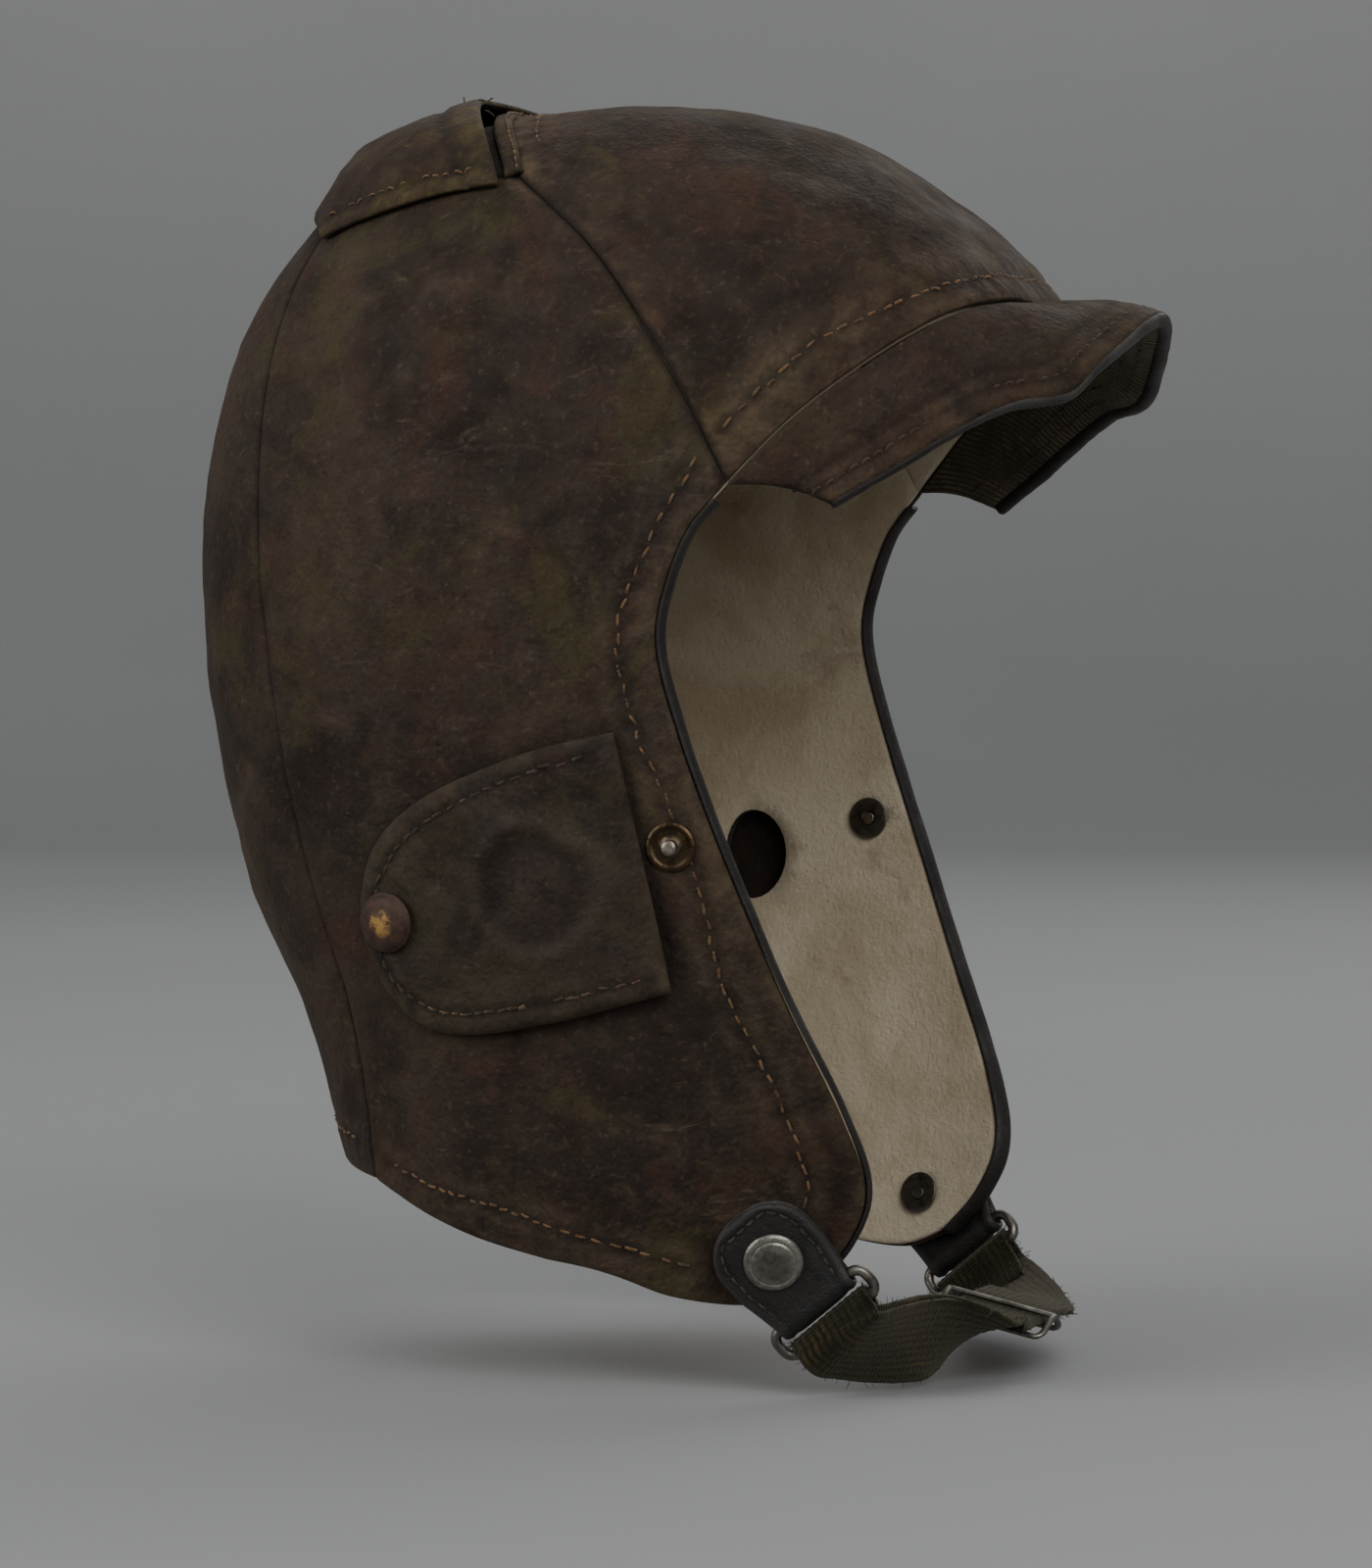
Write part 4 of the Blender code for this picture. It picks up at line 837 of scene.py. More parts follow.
def seam_relief(path, flat, point, seed, strength=1.0):
    """Both sides of a sewn seam dip into it, swell beside it and pucker across it."""
    d, along = to_path(path, flat)
    puckers = bell(d, 4.5, 4.0) * np.sin(2 * math.pi * along / 8.5 + 3 * lumps(point, 18, seed))
    rise = 0.22 * bell(d, 1.6, 2.4) - 0.20 * bell(d, 0.8) + 0.16 * puckers
    rubbed = np.clip(0.5 + 0.8 * lumps(point, 9, seed + 2), 0, 1)
    # Painted shade: the seam's groove is darkened.
    wear, dirt_and_painted_shade = strength * 0.40 * rubbed * bell(d, 1.3, 1.8), (0.25 + 0.6 * strength) * bell(d, 0.7)
    return strength * rise, wear, dirt_and_painted_shade


def stitch_relief(path, flat, point, seed):
    """A stitched line pulls the leather down, with small puckers on both sides, and painted shade darkens its
    groove.
    """
    d, along = to_path(path, flat)
    puckers = bell(d, 2.6, 2.4) * np.sin(2 * math.pi * along / 6.6 + 2.5 * lumps(point, 14, seed))
    return -0.42 * bell(d, 0.9) + 0.20 * puckers, 0.30 * bell(d, 1.6, 2.4), 0.55 * bell(d, 0.9)


def total(*reliefs):
    """The sum of several reliefs, each a rise, a wear, and a mix of dirt and painted shade."""
    return [sum(parts) for parts in zip(*reliefs)]


def limited(edge, rise, wear, dirt_and_painted_shade, radius=0.8, drop=0.3):
    """A relief with its edge rounded off, and with wear, and dirt with painted shade, held between 0 and 1.
    """
    return rise - drop * (1 - smooth_step(0, radius, edge)), np.clip(wear, 0, 1), np.clip(dirt_and_painted_shade, 0, 1)


def cloth_lumps(point, edge, seed, strength=1.0):
    fade = 0.25 + 0.75 * smooth_step(0, 16, edge)
    soft = (0.95 * lumps(point, 38, seed) + 0.42 * lumps(point, 15, seed + 5)
            + 0.16 * lumps(point, 6, seed + 9))
    folds = 0.40 * creases(point, 34, seed + 13) - 0.25 * creases(point, 19, seed + 17)
    return strength * fade * (soft - folds), strength * fade * 0.22 * creases(point, 34, seed + 13)


def side_relief(seed):
    def relief(flat, edge, point):
        face, low = to_path(FACE, flat)[0], to_path(BOTTOM, flat)[0]
        rise, wear = cloth_lumps(point, edge, seed)
        rise = rise + 0.45 * smooth_step(12.2, 10.6, face) + 0.35 * smooth_step(9.5, 8.3, low)
        lines = [stitch_relief(path, flat, point, seed + k) for path, k in ((FACE_LINE, 1), (BOTTOM_LINE, 2))]
        seams = [seam_relief(path, flat, point, seed + k, strength)
                 for path, k, strength in ((FRONT, 3, 0.9), (REAR, 4, 0.3), (KEEP, 5, 0.6))]
        rise, wear, dirt_and_painted_shade = total((rise, wear, np.zeros(len(flat))), *lines, *seams)
        wear = wear + 0.45 * bell(face, 2.2) + 0.35 * bell(low, 2.5)
        beyond = distance_to(FLAP, flat) * np.where(inside(FLAP, flat), -1, 1)
        rise = np.minimum(rise, 0.3 + 2.2 * smooth_step(0, 10, beyond))
        # Painted shadow: a dark band on the panel just outside the ear flap's raised edge.
        dirt_and_painted_shade = dirt_and_painted_shade + 0.5 * bell(beyond, 1.3, 0.4)
        for place, reach in ((REAR_STUD, 8), (FRONT_STUD, 7), (TAB_STUD, 15)):
            rise = rise * (1 - bell(np.hypot(*(flat - np.array(place)).T), reach))
        return limited(edge, rise, wear, dirt_and_painted_shade)
    return relief


FLAP = closed_curve(FLAP_OUTLINE, (FLAP_OUTLINE[-1], FLAP_OUTLINE[0]), steps=6)


def back_runs():
    right = [side_to_back(p) for p in catmull_rom((*REAR_SEAM[:-1], KEEPER_CORNER), 4)]
    shoulder = [side_to_back(p) for p in catmull_rom(KEEPER_SEAM, 4)]
    crown = [shoulder[-1], (114.0, -30.0), (110.0, 0.0), (114.0, 30.0), (shoulder[-1][0], -shoulder[-1][1])]
    nape = [(right[0][0], -right[0][1]), (NAPE_MIDDLE - 2, 30.0), (NAPE_MIDDLE, 0.0),
            (NAPE_MIDDLE - 2, -30.0), right[0]]
    return right, shoulder, crown, nape


BACK_RIGHT, BACK_SHOULDER, BACK_CROWN, BACK_NAPE = back_runs()
PEAK_ROOT = [side_to_front(p) for p in PEAK_SEAM]
PEAK_ROOT = [*PEAK_ROOT, (0.0, PEAK_ROOT[-1][1] - 1.0), *mirrored(PEAK_ROOT, 0)]
PEAK_LINE = [side_to_front(p) for p in PEAK_STITCH]
PEAK_LINE = [*PEAK_LINE, (0.0, PEAK_LINE[-1][1] - 0.6), *mirrored(PEAK_LINE, 0)]
FRONT_SEAM_LINE = np.array([side_to_front(p) for p in FRONT])
CROWN_LINE = np.array([back_to_front(p) for p in catmull_rom(BACK_CROWN, 4)])


def back_outline():
    return closed_curve(BACK_RIGHT, BACK_SHOULDER, BACK_CROWN, mirrored(BACK_SHOULDER, 1),
                        mirrored(BACK_RIGHT, 1), BACK_NAPE, steps=3)


def front_outline():
    seam = [side_to_front(p) for p in catmull_rom(FRONT_SEAM, 4)]
    crown = [back_to_front(p) for p in catmull_rom(BACK_CROWN, 4)]
    return closed_curve(seam, PEAK_ROOT, mirrored(seam, 0), crown[::-1], steps=3)


def back_relief(flat, edge, point):
    rise, wear = cloth_lumps(point, edge, 40)
    crown = smooth_step(55, 75, flat[:, 0])
    low = to_path(catmull_rom(BACK_NAPE, 5), flat)[0]
    # Painted shade under the strap keeper at the top of the back panel, and in the seam and stitch grooves.
    rise, wear, dirt_and_painted_shade = total(
        (rise * (1 - 0.8 * crown), wear, 0.8 * crown),
        seam_relief(np.asarray(BACK_RIGHT), flat, point, 41, 0.3),
        seam_relief(BACK_RIGHT * np.array((1.0, -1.0)), flat, point, 42, 0.3),
        stitch_relief(NAPE_LINE, flat, point, 46))
    return limited(edge, rise + 0.35 * smooth_step(9.5, 8.3, low), wear + 0.35 * bell(low, 2.5), dirt_and_painted_shade)


NAPE_LINE = catmull_rom([(u + 8.0, v * 0.93) for u, v in BACK_NAPE], 5)


def front_relief(flat, edge, point):
    root, crown = to_path(ROOT_PATH, flat)[0], to_path(CROWN_LINE, flat)[0]
    # Besides rise and wear, the seam and stitch reliefs bring painted shade in their grooves.
    rise, wear, dirt_and_painted_shade = total(
        (*cloth_lumps(point, edge, 60, 1.15), np.zeros(len(flat))),
        seam_relief(FRONT_SEAM_LINE, flat, point, 61),
        seam_relief(FRONT_SEAM_LINE * (-1.0, 1.0), flat, point, 62))
    r, w, d = stitch_relief(PEAK_PATH, flat, point, 66)
    rise = rise * (0.45 + 0.55 * smooth_step(6, 22, root)) + r + 0.55 * smooth_step(11.5, 9.5, root)
    band = smooth_step(15, 7, root)
    wear = wear + w + band * (0.16 + 0.35 * lumps(point, 7, 68)) + 0.25 * bell(root, 1.6)
    rise, wear, dirt_and_painted_shade = total((rise, wear, dirt_and_painted_shade + d), stitch_relief(CROWN_STITCH_PATH, flat, point, 69))
    return limited(edge, rise + 0.5 * smooth_step(7.5, 6.2, crown), wear + 0.45 * bell(crown, 4.0), dirt_and_painted_shade)


ROOT_PATH = catmull_rom(PEAK_ROOT, 6)
PEAK_PATH = catmull_rom(PEAK_LINE, 6)
CROWN_STITCH_PATH = CROWN_LINE + (0.0, -5.5)


def lining_relief(seed, rise_at):
    def relief(flat, edge, point):
        soft = 0.35 * lumps(point, 22, seed) + 0.18 * lumps(point, 8, seed + 2)
        wear = np.clip(0.5 * lumps(point, 40, seed + 4), 0, 1)
        return rise_at + soft - 0.2 * (1 - smooth_step(0, 1.0, edge)), wear, np.zeros(len(flat))
    return relief


def add_sheet(name, material, body, node, slot, *cut_from, **how):
    cut = Cut(*cut_from, **how)
    sheet = cut.build(name, material, body, [node], slot)
    return cut


def round_hole(centre):
    return oval((*centre, SHANK_HOLE, SHANK_HOLE), 14)


def add_stitches(name, cut, run, body, material=THREAD, **how):
    return add_mesh(name, *stitch_run(cut, run, **how), material, body)


def add_lining(name, node, chart, outline, seed, holes=()):
    add_sheet(name, NAP, "shell", node, "lining", chart, outline, lining_relief(seed, LINING_TOP), holes,
              LINING_TOP - LINING_BOTTOM, 4.0, rims=LINING_RIMS)


def dress_panels():
    holes = [oval(EAR_HOLE, 30), round_hole(REAR_STUD), round_hole(FRONT_STUD), round_hole(TAB_STUD)]
    side_outline = closed_curve(FACE_EDGE, BOTTOM_EDGE, REAR_SEAM, KEEPER_SEAM, FRONT_SEAM)
    side, back, front = (moved_in(resample(outline, 2.0), SEAM_GAP / 2)
                         for outline in (side_outline, back_outline(), front_outline()))
    for name, chart, seed in (("right", side_chart, 10.0), ("left", left_chart, 25.0)):
        cut = add_sheet(f"leather_side_{name}", HIDE, "shell", f"side_panel_{name}", "leather", chart, side,
                        side_relief(seed), holes)
        add_lining(f"chamois_side_{name}", f"side_lining_{name}", chart, side, seed + 1, holes)
        add_stitches(f"stitches_face_{name}", cut, FACE_STITCH, "shell", seed=3, skip=0.02)
        add_stitches(f"stitches_lower_{name}", cut, BOTTOM_STITCH, "shell", seed=4, skip=0.04)
    cut = add_sheet("leather_back", HIDE, "shell", "back_panel", "leather", back_chart, back, back_relief)
    add_stitches("stitches_nape", cut, NAPE_LINE, "shell", seed=5, skip=0.04)
    add_lining("chamois_back", "back_lining", back_chart, back, 41)
    cut = add_sheet("leather_front", HIDE_FRONT, "shell", "front_panel", "leather", front_chart, front,
                    front_relief)
    add_stitches("stitches_peak_seam", cut, PEAK_LINE, "shell", seed=6, pitch=3.1, skip=0.03)
    add_stitches("stitches_crown_hem", cut, CROWN_STITCH_PATH[2:-2], "shell", seed=7, pitch=3.0, skip=0.1)
    add_lining("chamois_front", "front_lining", front_chart, front, 61)
    root = np.array(catmull_rom(PEAK_ROOT, 3))[3:-3]
    band = np.vstack([root + (0.0, 1.5), (root + (0.0, 26.0))[::-1]])
    add_sheet("leather_sweatband", BAND_HIDE, "shell", "sweatband", "leather", front_chart, band,
              lining_relief(63, BAND_TOP), (), BAND_TOP - BAND_BOTTOM, 3.0, rims=LINING_RIMS)


def dress_face_bindings():
    run = resample_open(catmull_rom(FACE_EDGE, 10)[3:], 1.0)
    for side, chart in (("right", side_chart), ("left", left_chart)):
        p, q = run[:, 0], run[:, 1]
        point, n = chart(p, q), normals(chart, p, q)
        ahead = unit(np.gradient(point, axis=0))
        outward = unit(np.cross(ahead, n))
        if outward[:, 1].sum() > 0:
            outward = -outward
        turn = np.linspace(-0.5 * math.pi, 0.5 * math.pi, 9)
        high, low = 0.55, LINING_BOTTOM - 0.3
        middle, half = (high + low) / 2, (high - low) / 2
        swell = 1 + 0.10 * lumps(point, 9, 3)
        section = []
        for k in range(len(run)):
            bow = [(0.5 + 1.2 * swell[k] * math.cos(t), middle + half * swell[k] * math.sin(t)) for t in turn]
            section.append([(0.35, low + 0.1), *bow, (0.35, high - 0.05)])
        points, faces = swept(point, outward, n, np.array(section))
        wear = np.tile(0.04 + 0.40 * np.clip(lumps(point, 12, 8), 0, 1)[:, None], (1, len(turn) + 2)).ravel()
        add_mesh(f"rolled_face_edge_{side}", points, faces, EDGE_HIDE, "shell", [f"face_binding_{side}"],
                 "leather_dark", wear_only(wear))


def ring_relief(_flat, edge, _point):
    return 1.3 - 0.5 * (1 - smooth_step(0, 1.2, edge)), 0.3 + 0 * edge, 0 * edge


def flap_lift(edge):
    return 0.8 + 1.7 * np.clip(edge / 4.5, 0, 1) ** 0.7


FLAP_FRONT = np.array([FLAP_OUTLINE[-1], FLAP_OUTLINE[0]])
FLAP_STITCH = ((10.5, -33.5), (0.0, -37.0), (-17.0, -45.0), (-29.0, -54.5), (-34.5, -66.0), (-33.5, -77.0),
               (-28.0, -83.0), (-18.0, -85.5), (2.5, -83.0), (20.5, -77.5))


def flap_relief(seed):
    line = catmull_rom(FLAP_STITCH, 6)

    def relief(flat, edge, point):
        d, along = to_path(line, flat)
        front = to_path(FLAP_FRONT, flat)[0]
        r = np.hypot(flat[:, 0] - EAR_HOLE[0], (flat[:, 1] - EAR_HOLE[1]) * 0.94)
        r = r + 0.9 * lumps(point, 10, seed + 8)
        ring = 0.95 * bell(r, 1.7, 12.2) - 0.35 * bell(r, 2.4, 8.0) + 0.45 * bell(r, 3.5)
        ripple = np.sin(2 * math.pi * along / 4.2 + 2 * lumps(point, 9, seed))
        gathers = bell(d, 3.2, 1.5) * ripple * (0.15 + 0.4 * smooth_step(-58, -40, flat[:, 1]))
        hem = 0.3 * smooth_step(4.2, 3.0, edge) * smooth_step(1.0, 4.0, front)
        groove = -0.5 * bell(d, 0.8)
        soft = 0.55 * lumps(point, 13, seed + 3) + 0.25 * lumps(point, 5, seed + 6)
        soft = (soft - 0.55 * creases(point, 15, seed + 17) * smooth_step(13, 20, r)
                - 0.28 * creases(point, 8, seed + 19))
        curl = 0.7 * bell(np.hypot(*(flat - np.array(FLAP_OUTLINE[-1])).T), 6)
        rise = flap_lift(edge) + 1.6 + ring + gathers + hem + groove + curl + soft * smooth_step(0, 5, edge)
        under_cap = bell(np.hypot(*(flat - np.array(REAR_STUD)).T), 5.5)
        rise = rise * (1 - under_cap) + 4.05 * under_cap
        patches = np.clip(0.45 + 0.9 * lumps(point, 7, seed + 11), 0, 1)
        rubbed = (0.4 * bell(r, 2.0, 12.5) + 0.3 * bell(d, 1.5, 2.2)) * patches
        wear = 0.35 * bell(edge, 1.2) + rubbed + 0.12 * bell(front, 2)
        # Painted shade: darker in the stitch groove, in the ring's groove and under the snap cap.
        dirt_and_painted_shade = 0.6 * bell(d, 0.9) + 0.35 * bell(r, 2.0, 8.5) + 0.35 * under_cap
        return limited(edge, rise, wear, dirt_and_painted_shade, 1.1, 0.7)
    return relief


def dress_ear_flaps():
    for side, chart, seed in (("right", side_chart, 80.0), ("left", left_chart, 95.0)):
        body = f"flap_{side}"
        ring = Cut(chart, oval(EAR_RING, 60), ring_relief, [oval(EAR_HOLE, 50)], 1.0, 1.5, rims=(0.3, 0.8))
        ring.build(f"ear_hole_ring_{side}", EDGE_HIDE, "shell", [f"ear_ring_{side}"], "leather_dark")
        cut = add_sheet(f"leather_ear_flap_{side}", HIDE_WORN, body, f"ear_flap_{side}", "leather", chart,
                        FLAP, flap_relief(seed), [round_hole(REAR_STUD)], spacing=1.3,
                        under=lambda flat, edge, point: flap_lift(edge))
        add_stitches(f"stitches_flap_{side}", cut, FLAP_STITCH, body, THREAD_DARK, seed=9, pitch=2.9,
                     skip=0.05)
        add_stitches(f"stitches_flap_lower_{side}", cut, FLAP_STITCH[6:], body, seed=11, pitch=2.9,
                     radius=0.22, skip=0.3)


EAR_RING = (1.0, -60.0, 10.0, 13.5)


def add_turned(name, profile, centre, axis, material, body, node, slot, wear_at=None):
    points, faces, radii = turned(rounded_profile(profile), centre, axis)
    wear = np.clip(wear_at(radii) if wear_at else 0.3 + 0 * radii, 0, 1)
    return add_mesh(name, points, faces, material, body, [node], slot, {"wear": wear, "dirt_and_painted_shade": 0 * radii})


def ring_profile(inner, outer, height):
    return [(inner, 0), (outer, 0), (outer, height), (inner, height), (inner, 0)]


def dress_snaps():
    foot, r = LINING_BOTTOM - 1.5, SNAP_CAP_RADIUS
    dome = [(0, -1.9), (1.2, -1.9), (1.2, -0.1), (r - 0.5, -0.1), (r, 0.25), (r, 0.6), (r - 0.45, 0.95)]
    dome += [((r - 0.6) * math.cos(t), 0.9 + 1.75 * math.sin(t)) for t in np.linspace(0.12, 1.5, 9)]
    flange = [(0, foot), (STUD_SHANK_RADIUS, foot), (STUD_SHANK_RADIUS, 0.3), (STUD_FLANGE_RADIUS, 0.3),
              (STUD_FLANGE_RADIUS + 0.1, 0.75), (4.3, 1.05), (3.6, 0.72)]
    rear = [(1.6, 0.8), (1.5, 1.9), (0, 1.9)]
    post = [(2.4, 0.8), (1.5, 1.3), (1.4, 2.0), (1.75, 2.5), (1.6, 3.0), (0.9, 3.25), (0, 3.3)]
    button = [(0, foot), (STUD_SHANK_RADIUS, foot), (1.4, 0.2), (4.2, 0.2), (4.2, 0.5), (0, 0.5)]
    socket, washer = ring_profile(2.1, 3.7, 0.9), ring_profile(SHANK_HOLE, 4.5, 0.6)
    for side, chart in (("right", side_chart), ("left", left_chart)):
        flap = f"flap_{side}"
        for name, place, rise, profile, material, body, node, slot, wear_at in (
            ("press_cap", REAR_STUD, 4.4, [*dome, (0, 2.66)], BRASS, flap, "flap_snap_cap", "brass",
             lambda radius: 1.05 - radius / 4.2),
            ("press_socket", REAR_STUD, 1.1, socket, STUD_BRASS, flap, "flap_snap_socket", "brass", None),
            ("press_stud_rear", REAR_STUD, 0.0, [*flange, *rear], STEEL, "shell", "rear_stud", "steel",
             lambda radius: 0.8 - radius / 4),
            ("press_stud_front", FRONT_STUD, 0.0, [*flange, *post], STUD_BRASS, "shell", "front_stud",
             "brass", lambda radius: 1.05 - radius / 1.9),
            ("washer_rear", REAR_STUD, foot, washer, STEEL, "shell", "rear_stud_washer", "steel", None),
            ("washer_front", FRONT_STUD, foot, washer, STEEL, "shell", "front_stud_washer", "steel", None),
            ("press_stud_chin", TAB_STUD, 0.0, button, STEEL, "shell", "chin_stud", "steel", None),
            ("washer_chin", TAB_STUD, foot, washer, STEEL, "shell", "chin_stud_washer", "steel", None),
        ):
            add_turned(f"{name}_{side}", profile, *on_surface(chart, place, rise), material, body,
                       f"{node}_{side}", slot, wear_at)


# ---------------------------------------------------------------- crown


def keeper_lift(flat):
    u, v = flat[:, 0], flat[:, 1]
    swell = np.clip((u - 71.0) / 16.0, 0, 1)
    puff = 4.3 * swell * swell * (3 - 2 * swell) - 0.7 * np.clip((u - 96.0) / 12.0, 0, 1)
    hem = np.interp(u, (74.5, 92.0, 117.5), (44.5, 51.5, 55.8))
    across = np.clip((hem - np.abs(v)) / 15.0, 0, 1)
    return 0.7 + puff * across * (2 - across)


KEEPER_REAR = ((74.5, 46.5), (71.0, 22.0), (70.0, 0.0), (71.0, -22.0), (74.5, -46.5))
KEEPER_SIDE = ((74.5, -46.5), (92.0, -53.5), (117.5, -57.8))
KEEPER_FRONT = ((117.5, -57.8), (108.5, -27.0), (104.5, 0.0), (108.5, 27.0), (117.5, 57.8))
KEEPER_SIDE_STITCH = ((77.5, -43.0), (92.5, -49.3), (114.0, -53.3))


KEEPER_FRONT_PATH, KEEPER_SIDE_PATH, KEEPER_REAR_PATH = (
    catmull_rom(edge, 8) for edge in (KEEPER_FRONT, KEEPER_SIDE, KEEPER_REAR))


def keeper_relief(flat, edge, point):
    front, rear = to_path(KEEPER_FRONT_PATH, flat)[0], to_path(KEEPER_REAR_PATH, flat)[0]
    right, along = to_path(KEEPER_SIDE_PATH, flat)
    sides = np.minimum(right, to_path(KEEPER_SIDE_PATH * (1.0, -1.0), flat)[0])
    soft = 0.9 * lumps(point, 17, 120) + 0.45 * lumps(point, 8, 122) + 0.16 * lumps(point, 4, 123)
    folds = 0.9 * creases(point * (1.0, 0.55, 1.0), 24, 125) - 0.6 * creases(point, 13, 127)
    fade = smooth_step(0, 9, edge)
    hem = (0.75 * smooth_step(6.8, 5.6, front) + 0.55 * smooth_step(5.6, 4.6, sides)
           + 0.4 * smooth_step(5, 4, rear))
    groove = -0.5 * bell(front, 0.8, 6.9) - 0.45 * bell(sides, 0.8, 4.0)
    gathers = 0.45 * bell(sides, 3.5, 7.0) * np.sin(2 * math.pi * along / 5.2 + 2 * lumps(point, 10, 129))
    rise = keeper_lift(flat) + 1.35 + fade * (0.85 * soft - 0.5 * folds) + 0.6 * hem + groove + 0.8 * gathers
    hems = 0.80 * smooth_step(5.6, 2.5, front) + 0.70 * smooth_step(6.0, 2.0, sides)
    wear = (hems * (0.5 + 0.6 * lumps(point, 5, 131)) + 0.25 * creases(point, 20, 133)
            + 0.12 * lumps(point, 12, 135))
    # Painted shade in the front and side hem grooves, plus dark crease lines along raised folds.
    dirt_and_painted_shade = 0.6 * bell(front, 1.0, 7.4) + 0.55 * bell(sides, 0.9, 4.2) + 0.4 * creases(point, 13, 127)
    return limited(edge, rise, wear, dirt_and_painted_shade, 1.0, 0.6)


def dress_keeper():
    outline = closed_curve(KEEPER_REAR, KEEPER_SIDE, KEEPER_FRONT, mirrored(KEEPER_SIDE, 1))
    cut = add_sheet("leather_keeper", HIDE_KEEPER, "shell", "strap_keeper", "leather", back_chart, outline,
                    keeper_relief, spacing=1.6, under=lambda flat, edge, point: keeper_lift(flat))
    for side, flip, seed in (("right", 1, 13), ("left", -1, 14)):
        run = [(u, flip * v) for u, v in KEEPER_SIDE_STITCH]
        add_stitches(f"stitches_keeper_{side}", cut, run, "shell", seed=seed, pitch=2.6, radius=0.22,
                     skip=0.12)
    rng = np.random.default_rng(17)
    t = np.linspace(0, 1, 9)[:, None]
    parts = []
    for place in ((105.5, -9.0), (106.0, -14.0), (100.0, -6.0), (111.0, -33.0)):
        start, n = (found[0] for found in cut.place([place]))
        drift = unit(rng.normal(0, 1, 3) + 0.9 * n)
        bend = rng.normal(0, 1, 3)
        reach = rng.uniform(1.4, 3.2)
        parts.append(thread(start - 0.4 * n + reach * (drift * t + 0.35 * bend * t**2), 0.17))
    add_mesh("loose_threads", *joined(parts), THREAD_DARK, "shell")


WELT_MIDDLE = ((120.1, -54.5), (111.9, -27.0), (107.9, 0.0), (111.9, 27.0), (120.1, 54.5))


def dress_crown_welt():
    centres = resample_open(catmull_rom(WELT_MIDDLE, 20), 0.8)
    point = back_chart(centres[:, 0], centres[:, 1])
    n = normals(back_chart, centres[:, 0], centres[:, 1])
    side = unit(np.cross(unit(np.gradient(point, axis=0)), n))
    swell = 0.25 * lumps(point, 7, 141)
    wide = 2.2 + 0.25 * lumps(point, 9, 143)
    across = np.linspace(-1, 1, 13)
    sections, wears, dirt_and_painted_shades = [], [], []
    for puff, w in zip(swell, wide):
        crest = 0.4 + (1.45 + puff) * (1 - np.abs(across) ** 5) - 0.3 * bell(across, 0.14, 0.55)
        sections.append([*zip(across * w, crest), (0.9 * w, 0.3), (-0.9 * w, 0.3)])
        wears.append([*(0.35 + 0.6 * bell(across, 0.25, -0.8) + 0.4 * bell(across, 0.3, 0.9)), 0, 0])
        # Painted shade: darker in the groove along the crest and fully dark on the underside.
        dirt_and_painted_shades.append([*(0.7 * bell(across, 0.12, 0.55)), 1, 1])
    points, faces = swept(point, side, n, np.array(sections))
    wear = np.array(wears).ravel() * (0.6 + 0.4 * lumps(points, 5, 147))
    add_mesh("leather_crown_welt", points, faces, HIDE_KEEPER, "shell", ["crown_welt"], "leather",
             {"wear": wear, "dirt_and_painted_shade": np.array(dirt_and_painted_shades).ravel()})
    line = point + side * (0.55 * wide)[:, None] + n * 1.75
    run_stitches("stitches_crown_welt", line, n, THREAD, "shell", 24, pitch=2.8, radius=0.26)


# ---------------------------------------------------------------- peak


PEAK_LEATHER, PEAK_BOARD, PEAK_CLOTH, PEAK_GAP = 1.2, 0.8, 0.8, 0.3
PEAK_CLOTH_TOP = -PEAK_LEATHER - PEAK_BOARD - 2 * PEAK_GAP
PEAK_CLOTH_BOTTOM = PEAK_CLOTH_TOP - PEAK_CLOTH


def peak_grid(rows, spacing):
    """Rows of points from the peak's root to its rim, right temple to left temple."""
    right = list(reversed(PEAK_RIM))
    rim = catmull_rom([*right, *[(-x, f, z) for x, f, z in PEAK_RIM[1:]]], 12)
    rim = resample_open(rim, spacing)
    root_flat = np.array(catmull_rom(PEAK_ROOT, 12))
    travelled, rim_travelled = travel(root_flat), travel(rim)
    s, t = points_at(rim_travelled / rim_travelled[-1] * travelled[-1], travelled, root_flat).T
    root = front_chart(s, t)
    ahead = unit(np.cross(normals(front_chart, s, t), unit(np.gradient(root, axis=0))))
    ahead = -ahead if ahead[:, 1].sum() > 0 else ahead
    root = root + ahead * 1.0
    rim = to_row(rim)
    w = np.linspace(0, 1, rows + 1)[:, None, None]
    return root * (1 - w) + rim * w + np.array((0, 0, 1.0)) * 1.5 * np.sin(math.pi * w)


def grid_normals(grid):
    n = unit(np.cross(np.gradient(grid, axis=1), np.gradient(grid, axis=0)))
    return n * np.sign(n[..., 2].sum())


def grid_piece(name, grid, n, top_rise, bottom_rise, material, replaces, slot, layers, uv=None):
    """A slab over a grid of points, from one rise to another."""
    rows, columns = grid.shape[:2]
    points = np.vstack([(grid + n * rise[..., None]).reshape(-1, 3) for rise in (top_rise, bottom_rise)])
    corners = [i * columns + j for i in range(rows - 1) for j in range(columns - 1)]
    made = slab_faces(np.array([(a, a + 1, a + columns + 1, a + columns) for a in corners]), rows * columns)
    layers = {key: np.tile(values.ravel(), 2) for key, values in layers.items()}
    if uv is not None:
        uv = np.vstack([uv.reshape(-1, 2)] * 2)
    return add_mesh(name, points, facing_out(points, made), material, "shell", replaces, slot, layers, uv)


